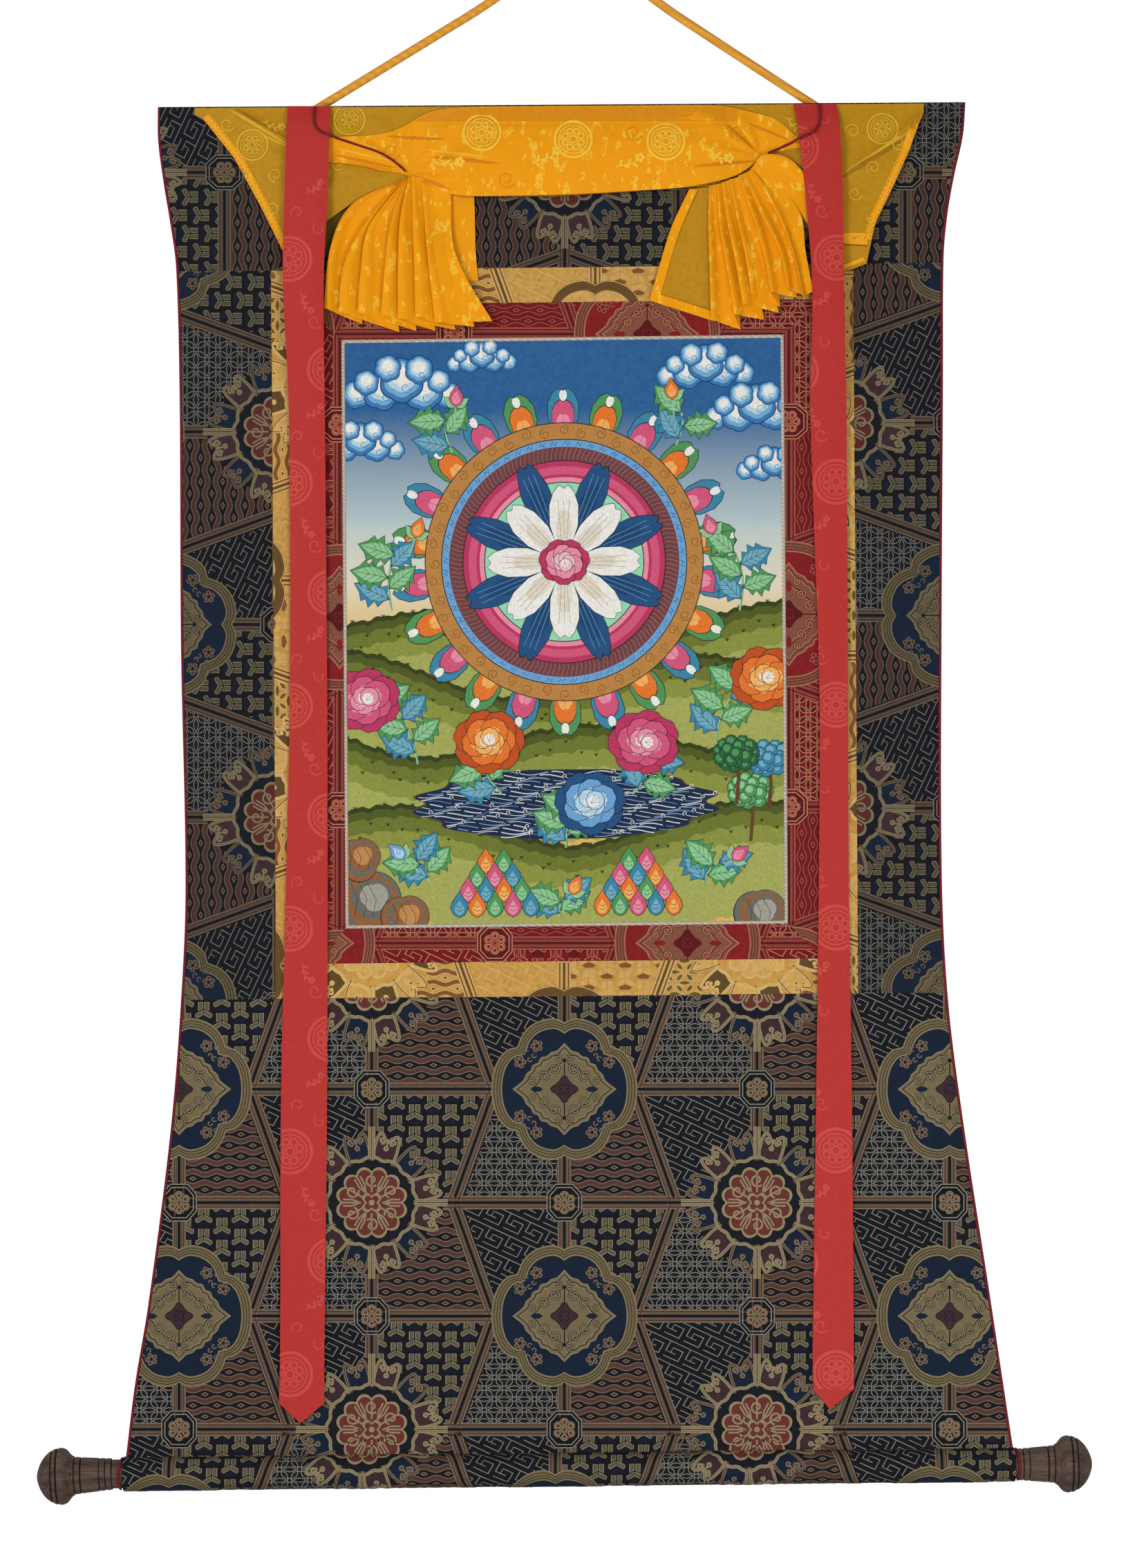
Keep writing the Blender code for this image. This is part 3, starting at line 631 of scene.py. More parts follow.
def hung(x, level):
    """The back of the hung cloth at x on a level."""
    drop = hung_drop(x, level)
    return x, relief(x, drop), drop


def spread(first, last, steps):
    """Evenly spaced values from first to last."""
    return [blend(first, last, step / steps) for step in range(steps + 1)]


# Materials


class Shader:
    """A procedural finish under construction: its nodes and the places they hang on."""

    def __init__(self, name):
        self.material = bpy.data.materials.new(name)
        self.material.use_nodes = True
        self.tree = self.material.node_tree
        self.surface = self.tree.nodes["Principled BSDF"]
        self.where = self.node("ShaderNodeTexCoord").outputs["Object"]

    def node(self, kind, inputs=(), **settings):
        """A node with its settings made and its inputs given as values or as other nodes' outputs."""
        node = self.tree.nodes.new(kind)
        for key, value in settings.items():
            setattr(node, key, value)
        for key, value in dict(inputs).items():
            if isinstance(value, bpy.types.NodeSocket):
                self.tree.links.new(value, node.inputs[key])
            else:
                node.inputs[key].default_value = value
        return node

    def placed(self, scale=(1.0, 1.0, 1.0), turn=(0.0, 0.0, 0.0)):
        """The object's own coordinates, scaled and turned."""
        inputs = {"Vector": self.where, "Scale": scale, "Rotation": turn}
        return self.node("ShaderNodeMapping", inputs).outputs["Vector"]

    def noise(self, size, detail=2.0, where=None):
        """Uneven cloudiness whose patches are about size millimetres."""
        inputs = {"Vector": where or self.where, "Scale": 1.0 / (size * MM), "Detail": detail}
        return self.node("ShaderNodeTexNoise", inputs).outputs["Fac"]

    def threads(self, pitch, direction, where=None):
        """Bands a pitch of millimetres apart, along X, Z or DIAGONAL."""
        inputs = {"Vector": where or self.where, "Scale": math.tau / (20.0 * pitch * MM)}
        settings = {"wave_type": "BANDS", "bands_direction": direction, "wave_profile": "SIN"}
        return self.node("ShaderNodeTexWave", inputs, **settings).outputs["Fac"]

    def math(self, operation, first, second):
        """Two values joined by an operation."""
        node = self.node("ShaderNodeMath", operation=operation)
        for socket, value in zip(node.inputs, (first, second)):
            if isinstance(value, bpy.types.NodeSocket):
                self.tree.links.new(value, socket)
            else:
                socket.default_value = value
        return node.outputs[0]

    def ramp(self, value, low, high):
        """A value stretched so that low gives 0 and high gives 1."""
        inputs = {"Value": value, "From Min": low, "From Max": high}
        return self.node("ShaderNodeMapRange", inputs).outputs["Result"]

    def mix(self, share, first, second):
        """Two colours mixed by a share."""
        node = self.node("ShaderNodeMix", data_type="RGBA")
        for socket, value in ((node.inputs[0], share), (node.inputs[6], first), (node.inputs[7], second)):
            if isinstance(value, bpy.types.NodeSocket):
                self.tree.links.new(value, socket)
            else:
                socket.default_value = value if isinstance(value, float) else (*value, 1.0)
        return node.outputs[2]

    def finish(self, colour, roughness, height=None, strength=0.3, rise=0.3, sheen=0.0, metal=0.0,
               gloss=0.12):
        """Lead the colour and the relief into the surface."""
        inputs = self.surface.inputs
        if isinstance(colour, bpy.types.NodeSocket):
            self.tree.links.new(colour, inputs["Base Color"])
        else:
            inputs["Base Color"].default_value = (*colour, 1.0)
        inputs["Roughness"].default_value = roughness
        inputs["Metallic"].default_value = metal
        inputs["Specular IOR Level"].default_value = gloss
        inputs["Sheen Weight"].default_value = sheen
        inputs["Sheen Roughness"].default_value = 0.45
        if height is not None:
            settings = {"Height": height, "Strength": strength, "Distance": rise * MM}
            self.tree.links.new(self.node("ShaderNodeBump", settings).outputs["Normal"], inputs["Normal"])
        return self.material


def screen(red, green, blue):
    """A colour as a share of the studio's light, from how it shows on a screen, 0 to 255."""
    shares = [(value / 255.0 + SCREEN_OFFSET) / (1.0 + SCREEN_OFFSET) for value in (red, green, blue)]
    return tuple(share**SCREEN_POWER / STUDIO_GAIN for share in shares)


def shaded(colour, amount):
    """A colour made lighter or darker."""
    return tuple(min(value * amount, 1.0) for value in colour)


def woven(name, colour, roughness=0.8, sheen=0.0, pitch=0.9, blotch=0.16, strength=0.35):
    """Plainly woven cloth: crossing threads, with a slight unevenness of its dye."""
    shader = Shader(name)
    weave = shader.math("MULTIPLY", shader.threads(pitch, "X"), shader.threads(pitch, "Z"))
    height = shader.math("ADD", weave, shader.noise(2.5))
    uneven = shader.mix(shader.ramp(shader.noise(4.0, 5.0), 0.3, 0.7), shaded(colour, 1.0 - blotch),
                        shaded(colour, 1.0 + blotch))
    return shader.finish(uneven, roughness, height, strength, 0.3, sheen)


def floss(name, colour, roughness=0.6, sheen=0.02, pitch=1.3, depth=0.22):
    """Pattern weft of a brocade: slanting stitches whose flanks are painted lighter and darker, as painted
    highlight and painted shade.
    """
    shader = Shader(name)
    slant = shader.threads(pitch, "DIAGONAL", shader.placed(turn=(0.0, 0.35, 0.0)))
    share = shader.math("MULTIPLY", slant, shader.ramp(shader.noise(3.0), 0.2, 0.8))
    tinted = shader.mix(share, shaded(colour, 1.0 - depth), shaded(colour, 1.0 + depth))
    return shader.finish(tinted, roughness, slant, 0.5, 0.35, sheen)


def damask_silk(name, colour, light, share=0.6):
    """Thin silk with sharp-edged woven patches that catch the light."""
    shader = Shader(name)
    patches = shader.noise(9.0, 1.0, shader.placed(scale=(1.5, 1.0, 0.8)))
    figured = shader.math("MULTIPLY", shader.ramp(patches, share, share + 0.03),
                          shader.ramp(shader.noise(3.0), 0.4, 0.5))
    height = shader.math("MULTIPLY", shader.threads(0.7, "X"), shader.threads(0.7, "Z"))
    tone = shader.mix(shader.noise(14.0, 3.0), shaded(colour, 0.9), shaded(colour, 1.08))
    return shader.finish(shader.mix(figured, tone, light), 0.55, height, 0.15, 0.3, 0.02, gloss=0.08)


def turned_wood(name, light, dark):
    """Wood whose grain runs along the rod."""
    shader = Shader(name)
    stretched = shader.placed(scale=(0.05, 1.0, 1.0))
    grain = shader.noise(1.6, 6.0, stretched)
    streaks = shader.noise(6.0, 4.0, stretched)
    tone = shader.mix(shader.ramp(streaks, 0.35, 0.65), shaded(light, 0.5), light)
    tone = shader.mix(shader.ramp(grain, 0.52, 0.72), tone, dark)
    return shader.finish(tone, 0.55, grain, 0.3, 0.3)


# Flat shapes for woven and painted patterns


def refine(points, closed, step=FINE_STEP):
    """A route with its long stretches divided."""
    route = list(points) + ([points[0]] if closed else [])
    result = [route[0]]
    for here, there in zip(route, route[1:]):
        parts = max(1, math.ceil(math.dist(here, there) / step))
        for part in range(1, parts + 1):
            result.append((blend(here[0], there[0], part / parts), blend(here[1], there[1], part / parts)))
    return result[:-1] if closed else result


def cut(points, inside):
    """The part of a shape where inside(x, y) isn't negative."""
    values = [inside(*place) for place in points]
    if min(values) >= 0.0:
        return points
    if max(values) <= 0.0:
        return []
    result = []
    for k, (here, value) in enumerate(zip(points, values)):
        before = points[k - 1]
        earlier = values[k - 1]
        if (value >= 0.0) != (earlier >= 0.0):
            share = earlier / (earlier - value)
            result.append((blend(before[0], here[0], share), blend(before[1], here[1], share)))
        if value >= 0.0:
            result.append(here)
    return result


def wall(first, second):
    """How far a place lies to the right of the line from first to second, with y down."""
    away = math.dist(first, second)
    along_x = (second[0] - first[0]) / away
    along_y = (second[1] - first[1]) / away
    return lambda x, y: along_x * (y - first[1]) - along_y * (x - first[0])


def fence(corners):
    """The walls of a convex shape whose corners run clockwise as seen with y down."""
    return [wall(here, there) for here, there in zip(corners, corners[1:] + corners[:1])]


def polar(centre, angle, radius):
    """The place at an angle and radius about a centre."""
    return centre[0] + radius * math.cos(angle), centre[1] + radius * math.sin(angle)


def lobes(count, inner, outer, turn=0.0, power=0.6):
    """A lobed outline: the radius at an angle, with cusps inner and bulges outer from the centre."""
    return lambda angle: inner + (outer - inner) * abs(math.sin(count / 2 * (angle - turn))) ** power


class Design:
    """Flat shapes in layers, in millimetres: x to the right and y down."""

    def __init__(self):
        self.shapes = []

    def fill(self, points, colour, layer):
        """One small shape."""
        self.shapes.append((layer, colour, list(points)))

    def line(self, points, width, colour, layer, closed=False):
        """A thread along a route, as a row of small shapes."""
        route = refine(points, closed)
        count = len(route)
        sides = []
        for k, here in enumerate(route):
            before = route[k - 1] if closed or k > 0 else here
            after = route[(k + 1) % count] if closed or k < count - 1 else here
            along = (after[0] - before[0], after[1] - before[1])
            length = math.hypot(*along) or 1.0
            turn = 1.0
            if before is not here and after is not here:
                one = math.atan2(here[1] - before[1], here[0] - before[0])
                two = math.atan2(after[1] - here[1], after[0] - here[0])
                turn = 1.0 / max(math.cos((two - one) / 2), 0.6) if abs(two - one) < math.pi else 1.0
            out_x = -along[1] / length * width / 2 * turn
            out_y = along[0] / length * width / 2 * turn
            sides.append(((here[0] + out_x, here[1] + out_y), (here[0] - out_x, here[1] - out_y)))
        for k in range(count if closed else count - 1):
            one = sides[k]
            two = sides[(k + 1) % count]
            self.fill((one[0], two[0], two[1], one[1]), colour, layer)

    def cord(self, points, width, colours, layer, closed=False):
        """A thread with an edge of another colour."""
        self.line(points, width, colours[0], layer, closed)
        self.line(points, width * 0.5, colours[1], layer + 1, closed)

    def round_fill(self, centre, radius_at, colour, layer, sides=32, rings=1):
        """A filled round or lobed shape in rings of small shapes."""
        for ring in range(rings):
            for k in range(sides):
                one = math.tau * k / sides
                two = math.tau * (k + 1) / sides
                near = ring / rings
                far = (ring + 1) / rings
                outer = [polar(centre, two, radius_at(two) * far), polar(centre, one, radius_at(one) * far)]
                if ring == 0:
                    self.fill([centre, polar(centre, one, radius_at(one) * far), outer[0]], colour, layer)
                else:
                    inner = [polar(centre, one, radius_at(one) * near),
                             polar(centre, two, radius_at(two) * near)]
                    self.fill(inner + outer, colour, layer)

    def round_line(self, centre, radius_at, width, colour, layer, sides=48):
        """A thread round a lobed shape."""
        route = [polar(centre, math.tau * k / sides, radius_at(math.tau * k / sides)) for k in range(sides)]
        self.line(route, width, colour, layer, closed=True)

    def within(self, corners, other):
        """Another design's shapes, as far as they lie inside a convex shape."""
        walls = fence(corners)
        for layer, colour, points in other.shapes:
            for inside in walls:
                points = cut(points, inside)
                if len(points) < 3:
                    break
            else:
                self.shapes.append((layer, colour, points))


def even(radius):
    """The same radius at every angle."""
    return lambda angle: radius


def spiral(centre, start, turns, radius, hand=1.0, steps=14):
    """A curl that winds inwards from its start angle."""
    places = []
    for step in range(steps + 1):
        share = step / steps
        places.append(polar(centre, start + hand * math.tau * turns * share, radius * (1.0 - 0.72 * share)))
    return places


# The four small lattices of the brocades, each over a box


def tripods(box):
    """Rows of three-armed blocks with dark pockets under them."""
    design = Design()
    left, top, right, bottom = box
    pitch_x = 15.8
    pitch_y = 9.6
    for row in range(-1, round((bottom - top) / pitch_y) + 2):
        for column in range(-1, round((right - left) / pitch_x) + 2):
            if (row + column) % 2:
                continue
            x = left + column * pitch_x
            y = top + row * pitch_y
            for side in (-1, 1):
                chevron = [(0.5, -4.5), (7.1, -0.9), (7.1, 1.0), (5.8, 2.4), (0.5, -0.6)]
                pillar = [(0.8, -11.3), (4.5, -11.3), (4.5, -3.9), (0.8, -6.0)]
                for block in (chevron, pillar):
                    places = [(x + side * px, y + py) for px, py in block]
                    design.fill(places, "block", 1)
                    design.line(places, 0.55, "line", 2, closed=True)
            design.fill([(x - 5.8, y + 3.2), (x, y + 1.0), (x + 5.8, y + 3.2), (x + 4.0, y + 5.6),
                         (x - 4.0, y + 5.6)], "pocket", 1)
    return design


def hemp_leaves(box):
    """A net of fine rings and leaf-shaped meshes."""
    design = Design()
    left, top, right, bottom = box
    pitch_x = 17.4
    pitch_y = 9.5
    for row in range(-1, round((bottom - top) / pitch_y) + 2):
        for column in range(-1, round((right - left) / pitch_x) + 2):
            x = left + (column + 0.5 * (row % 2)) * pitch_x
            y = top + row * pitch_y
            design.round_line((x, y), even(2.0), 0.7, "silver", 2, sides=8)
            for reach_x, reach_y in ((pitch_x, 0.0), (pitch_x / 2, pitch_y), (-pitch_x / 2, pitch_y)):
                away = math.hypot(reach_x, reach_y)
                across_x = -reach_y / away
                across_y = reach_x / away
                flanks = []
                for side in (-1, 1):
                    route = []
                    for step in range(5):
                        share = 0.16 + 0.68 * step / 4
                        bulge = side * 2.1 * math.sin(math.pi * step / 4)
                        route.append((x + reach_x * share + across_x * bulge,
                                      y + reach_y * share + across_y * bulge))
                    design.line(route, 0.7, "silver", 2)
                    flanks.append(route)
                design.fill(flanks[0] + flanks[1][-2:0:-1], "leaf_core", 1)
    return design


def waves(box):
    """Facing waves with lozenges in the eyes between them."""
    design = Design()
    left, top, right, bottom = box
    pitch_x = 20.8
    pitch_y = 9.6
    for row in range(-1, round((bottom - top) / pitch_y) + 2):
        y = top + row * pitch_y
        phase = math.pi * (row % 2)
        count = math.ceil((right - left + 8.0) / 2.6)
        route = [(left - 4.0 + 2.6 * k, y - 1.5 * math.cos(math.tau * (2.6 * k) / pitch_x + phase))
                 for k in range(count)]
        design.line(route, 4.9, "pale", 1)
        design.line(route, 3.5, "pink", 2)
        for column in range(-1, round((right - left) / pitch_x) + 2):
            x = left - 4.0 + (column + 0.5 * (row % 2)) * pitch_x
            middle = y + pitch_y / 2
            for size, colour, layer in ((1.0, "pale", 1), (0.55, "plum", 2)):
                reach = (3.5 * size, 2.0 * size)
                design.fill([(x - reach[0], middle), (x, middle - reach[1]), (x + reach[0], middle),
                             (x, middle + reach[1])], colour, layer)
    return design


def key_fret(box):
    """A slanting fret of hooked bars."""
    design = Design()
    left, top, right, bottom = box
    unit = 4.7
    along = (0.9 * unit, 0.42 * unit)
    upward = (0.5 * unit, -0.86 * unit)
    hook = ((0, 0), (3, 0), (3, 2), (1, 2), (1, 1), (2, 1))
    bar = ((0, 3), (4, 3), (4, 1), (5, 1))
    for row in range(-14, 15):
        for column in range(-14, 15):
            base = (4 * column + 2 * (row % 2), 4 * row)
            x = left + base[0] * along[0] + base[1] * upward[0]
            y = top + base[0] * along[1] + base[1] * upward[1]
            if left - 25.0 < x < right + 25.0 and top - 25.0 < y < bottom + 25.0:
                for route in (hook, bar):
                    places = [(x + u * along[0] + v * upward[0], y + u * along[1] + v * upward[1])
                              for u, v in route]
                    design.line(places, 0.7, "silver", 1)
    return design


def band(design, first, last):
    """Two roped lines with a dark core between them."""
    away = math.dist(first, last)
    across_x = -(last[1] - first[1]) / away
    across_y = (last[0] - first[0]) / away
    design.line((first, last), 11.6, "ground", 3)
    for side in (-1, 1):
        offset = 3.8 * side
        ends = [(place[0] + across_x * offset, place[1] + across_y * offset) for place in (first, last)]
        design.cord(ends, 2.9, ("pale", "pink"), 4)
        for thin in (1.6, 5.5):
            edge = [(place[0] + across_x * thin * side, place[1] + across_y * thin * side)
                    for place in (first, last)]
            design.line(edge, 0.5, "pale", 4)
    design.line((first, last), 2.2, "black", 4)


def eye_flower(design, centre):
    """A small octagon with a flower in it."""

    def octagon(half):
        corners = [(half, half * 0.5), (half * 0.5, half * 1.06)]
        corners += [(-x, y) for x, y in reversed(corners)]
        return [(centre[0] + x, centre[1] + y) for x, y in corners + [(-x, -y) for x, y in corners]]

    design.fill(octagon(15.6), "black", 5)
    design.line(octagon(15.0), 0.9, "silver", 6, closed=True)
    design.line(octagon(12.4), 0.9, "silver", 6, closed=True)
    for k in range(6):
        place = polar(centre, math.tau * (k + 0.5) / 6, 6.2)
        design.round_fill(place, even(3.9), "line", 6, sides=12)
        design.round_line(place, even(2.9), 0.5, "ground", 7, sides=10)
        design.round_fill(place, even(1.7), "rust", 7, sides=6)
    design.round_fill(centre, even(3.4), "pale", 8, sides=8)
    design.round_fill(centre, even(1.5), "rust", 9, sides=6)


def around(rows, scale=1.0, grow=0.0):
    """A radius read from rows for one quarter turn, mirrored into the other three."""

    def radius(angle):
        turn = abs(((angle + math.pi / 2) % math.pi) - math.pi / 2)
        return read_rows(rows, math.degrees(turn))[0] * scale + grow

    return radius


def quatrefoil(design, centre):
    """The large stepped medallion with a pointed figure in it."""
    design.round_fill(centre, around(MEDALLION_ROWS, 1.0, -9.0), "navy", 5, sides=80, rings=5)
    design.round_line(centre, around(MEDALLION_ROWS, 1.0, -2.2), 4.4, "rope", 6, sides=112)
    design.round_line(centre, around(MEDALLION_ROWS, 1.0, -7.0), 4.2, "rope", 6, sides=112)
    for inset in (-2.2, -4.7, -7.0):
        design.round_line(centre, around(MEDALLION_ROWS, 1.0, inset), 0.5, "groove", 7, sides=112)
    for inset in (-0.2, -8.8):
        design.round_line(centre, around(MEDALLION_ROWS, 1.0, inset), 0.6, "line", 7, sides=112)
    design.round_fill(centre, around(FIGURE_ROWS), "figure", 6, sides=88, rings=3)
    design.round_line(centre, around(FIGURE_ROWS, 0.99), 0.7, "line", 7, sides=88)
    for share in (0.9, 0.64):
        design.round_line(centre, around(FIGURE_ROWS, share), 0.7, "groove", 7, sides=88)
        design.round_line(centre, around(FIGURE_ROWS, share - 0.035), 0.6, "line", 7, sides=88)

    def heart(angle):
        return 8.0 + 4.0 * abs(math.cos(2 * angle)) ** 4

    design.round_fill(centre, heart, "plum", 7, sides=32)
    design.round_line(centre, heart, 0.7, "groove", 8, sides=32)
    design.round_line(centre, lobes(4, 2.4, 5.0), 0.8, "navy", 8, sides=20)
    for side in (-1, 1):
        lens = [(-5.0, 0.0), (-2.6, -1.8), (0.0, -2.5), (2.6, -1.8), (5.0, 0.0), (2.6, 1.8), (0.0, 2.5),
                (-2.6, 1.8)]
        design.fill([(centre[0] + side * 23.6 + px, centre[1] + py) for px, py in lens], "navy", 8)
        stem = [(centre[0], centre[1] + side * 12.5), (centre[0], centre[1] + side * 24.0)]
        design.line(stem, 0.9, "groove", 8)
        design.round_fill((centre[0], centre[1] + side * 25.0), even(1.8), "groove", 8, sides=8)
        for down in (-1, 1):
            for curl_x, curl_y, radius, start in ((17.5, 10.5, 5.0, 0.4), (8.5, 18.0, 5.0, 2.0),
                                                  (28.0, 6.8, 3.0, 1.0), (5.4, 27.5, 3.0, 1.4)):
                spot = (centre[0] + side * curl_x, centre[1] + down * curl_y)
                angle = start if side > 0 else math.pi - start
                curl = spiral(spot, angle * down, 1.25, radius, side * down, 12)
                design.line(curl, 1.9, "groove", 8)
                design.line(curl, 0.8, "line", 9)
            for bloom_x, bloom_y, turn in ((38.5, 23.5, 0.0), (24.0, 37.5, 0.6)):
                bloom = (centre[0] + side * bloom_x, centre[1] + down * bloom_y)
                for k in range(5):
                    petal = polar(bloom, math.tau * k / 5 + turn, 3.5)
                    design.round_fill(petal, even(2.2), "pale", 7, sides=8)
                    design.round_fill(petal, even(1.3), "pink", 8, sides=6)
                design.round_fill(bloom, even(1.3), "ground", 8, sides=6)
                for leaf_turn in (-0.5, 0.5):
                    outward = math.atan2(down * (31.0 - bloom_y), side * (31.0 - bloom_x))
                    far = polar(bloom, outward + leaf_turn, 8.6)
                    design.line(spiral(far, turn + leaf_turn, 0.8, 2.6, side * down, 7), 0.9, "pale", 7)


def rosette(design, centre):
    """The large flower with twelve curled leaves round it."""
    for k in range(12):
        middle = math.tau * (k + 0.5) / 12
        rightward = abs(((middle + math.pi) % math.tau) - math.pi) < math.pi / 2
        warm = (k % 3 != 1) if rightward else (k % 3 == 1)
        half = math.tau / 24
        fill = "plum" if warm else "navy"
        edge = ("line", "pale") if warm else ("pale", "pink")
        outline = []
        feet = []
        for step in range(17):
            share = step / 8 - 1
            reach = max(38.0, 38.0 + 19.5 * (1 - abs(share) ** 7) - 3.6 * math.cos(share * math.pi * 2))
            outline.append(polar(centre, middle + half * share * 0.93, reach))
            feet.append(polar(centre, middle + half * share * 0.93, 36.5))
        for step in range(16):
            waist = [(blend(foot[0], rim[0], 0.5), blend(foot[1], rim[1], 0.5))
                     for foot, rim in zip(feet[step:step + 2], outline[step:step + 2])]
            design.fill([feet[step], feet[step + 1], waist[1], waist[0]], fill, 5)
            design.fill([waist[0], waist[1], outline[step + 1], outline[step]], fill, 5)
        design.line([feet[0]] + outline + [feet[-1]], 2.7, edge[0], 6)
        design.line([feet[0]] + outline + [feet[-1]], 0.9, edge[1], 7)
        notch = polar(centre, middle, 57.0)
        for hand in (-1, 1):
            curl = polar(centre, middle + hand * half * 0.36, 54.4)
            design.line(spiral(curl, middle + math.pi / 2 * -hand, 0.75, 3.0, hand, 8), 1.7, edge[0], 7)
        for turn, away, size in ((math.pi, 8.6, 2.5), (math.pi - 0.75, 5.6, 2.0),
                                 (math.pi + 0.75, 5.6, 2.0)):
            design.round_fill(polar(notch, middle + turn, away), even(size), edge[0], 7, sides=8)
            design.round_fill(polar(notch, middle + turn, away), even(size * 0.45), edge[1], 8, sides=6)
        design.line([notch, polar(centre, middle, 50.0)], 1.5, edge[0], 8)
    for quarter in range(4):
        angle = math.pi / 2 * quarter
        for side in (-1, 1):
            route = [polar(polar(centre, angle, away), angle + math.pi / 2, side * 1.7)
                     for away in (38.0, 50.0, 66.0)]
            design.line(route, 2.9, "line", 8)
            design.line(route, 0.7, "pale", 9)
        design.line([polar(centre, angle, 40.0), polar(centre, angle, 66.0)], 0.6, "ground", 9)
    design.round_fill(centre, lobes(12, 35.5, 39.5, math.pi / 12), "ground", 6, sides=60, rings=4)
    design.round_line(centre, lobes(12, 35.8, 39.6, math.pi / 12), 2.9, "line", 7, sides=84)
    design.round_line(centre, lobes(12, 35.8, 39.6, math.pi / 12), 0.6, "pale", 8, sides=84)
    design.round_fill(centre, lobes(12, 27.2, 31.6, 0.0, 0.8), "line", 7, sides=72, rings=3)
    design.round_fill(centre, lobes(12, 25.0, 29.2, 0.0, 0.8), "rust", 8, sides=60, rings=3)
    for k in range(12):
        angle = math.tau * k / 12
        design.line([polar(centre, angle, 9.0), polar(centre, angle, 27.5)], 1.5, "line", 9)
        if k % 2:
            design.line(spiral(polar(centre, angle, 19.5), angle + 2.4, 1.1, 6.0, 1.0, 12), 1.6, "line", 9)
        else:
            for side in (-0.16, 0.16):
                design.line([polar(centre, angle, 10.0), polar(centre, angle + side, 17.0),
                             polar(centre, angle + side * 0.7, 25.0)], 1.4, "line", 9)
    design.round_fill(centre, lobes(4, 6.0, 10.0), "line", 9, sides=16)
    design.round_fill(centre, lobes(4, 4.0, 7.4), "rust", 10, sides=16)
    design.round_fill(centre, even(2.6), "line", 11, sides=8)


def brocade_cell():
    """One repeat of the brocades, about its flower."""
    design = Design()
    wide = HALF_REPEAT_X
    high = HALF_REPEAT_Y
    near = 72.6
    far = 105.0
    rim = 5.6
    fills = {
        (1, -1): (tripods, hemp_leaves),
        (1, 1): (waves, key_fret),
        (-1, -1): (key_fret, waves),
        (-1, 1): (hemp_leaves, tripods),
    }
    for (across, down), lattices in fills.items():
        inner = [(rim, rim), (near - rim, rim), (far - rim - 2.0, high - rim), (rim, high - rim)]
        outer = [(near + rim + 2.0, rim), (wide - rim, rim), (wide - rim, high - rim),
                 (far + rim, high - rim)]
        for corners, lattice in zip((inner, outer), lattices):
            corners = [(x * across, y * down) for x, y in corners]
            if across * down < 0:
                corners.reverse()
            box = (min(c[0] for c in corners), min(c[1] for c in corners),
                   max(c[0] for c in corners), max(c[1] for c in corners))
            design.within(corners, lattice(box))
    covered = [(0.0, 0.0)] + [(across * wide, down * high) for across in (-1, 1) for down in (-1, 1)]

    def shows(shape):
        return min(math.dist(shape[2][0], spot) for spot in covered) > COVERED_RADIUS

    design.shapes = [shape for shape in design.shapes if shows(shape)]
    for down in (-1, 1):
        for across in (-1, 1):
            band(design, (across * (near - 1.0), down * 3.0), (across * far, down * (high - 3.0)))
        band(design, (0.0, down * 62.0), (0.0, down * high))
    for across in (-1, 1):
        band(design, (across * 62.0, 0.0), (across * wide, 0.0))
        band(design, (across * 10.0, high), (across * 110.0, high))
    band(design, (wide, -44.0), (wide, 44.0))
    eye_flower(design, (wide, 0.0))
    eye_flower(design, (0.0, high))
    quatrefoil(design, (wide, high))
    rosette(design, (0.0, 0.0))
    return design


# Meshes


def new_object(name, verts, faces, material, smooth=True):
    """A mesh piece that rides with the scroll."""
    mesh = bpy.data.meshes.new(name)
    mesh.from_pydata(verts, [], faces)
    mesh.materials.append(material)
    if smooth:
        mesh.shade_smooth()
        mesh.set_sharp_from_angle(angle=math.radians(50.0))
    thing = bpy.data.objects.new(name, mesh)
    bpy.context.scene.collection.objects.link(thing)
    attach(thing, "root")
    return thing


def sheet(name, columns, rows, spot, thickness, material):
    """A closed sheet: spot(across, down) gives its back's x, depth and drop."""
    backs = []
    fronts = []
    wide = columns + 1
    for j in range(rows + 1):
        for i in range(wide):
            x, depth, drop = spot(i / columns, j / rows)
            thick = thickness(i / columns, j / rows) if callable(thickness) else thickness
            backs.append(point(x, depth, drop))
            fronts.append(point(x, depth + thick, drop))
    shift = len(backs)
    faces = []
    for j in range(rows):
        for i in range(columns):
            k = j * wide + i
            faces.append((k, k + 1, k + wide + 1, k + wide))
            faces.append((shift + k, shift + k + wide, shift + k + wide + 1, shift + k + 1))
    for i in range(columns):
        low = rows * wide + i
        faces.append((i, shift + i, shift + i + 1, i + 1))
        faces.append((low, low + 1, shift + low + 1, shift + low))
    for j in range(rows):
        k = j * wide
        m = k + columns
        faces.append((k, k + wide, shift + k + wide, shift + k))
        faces.append((m, shift + m, shift + m + wide, m + wide))
    return new_object(name, backs + fronts, faces, material)


def tube_faces(rings, sides, loop=False, turned=False):
    """The walls of a tube of rings with sides corners each; turned makes them face the other way."""
    faces = []
    for ring in range(rings if loop else rings - 1):
        here = ring * sides
        there = (ring + 1) % rings * sides
        for side in range(sides):
            other = (side + 1) % sides
            if turned:
                faces.append((here + side, there + side, there + other, here + other))
            else:
                faces.append((here + side, here + other, there + other, there + side))
    return faces


def around_box(corners):
    """The box round some places (x, drop), with a margin."""
    across = [x for x, drop in corners]
    down = [drop for x, drop in corners]
    return (min(across) - BOX_MARGIN, min(down) - BOX_MARGIN,
            max(across) + BOX_MARGIN, max(down) + BOX_MARGIN)


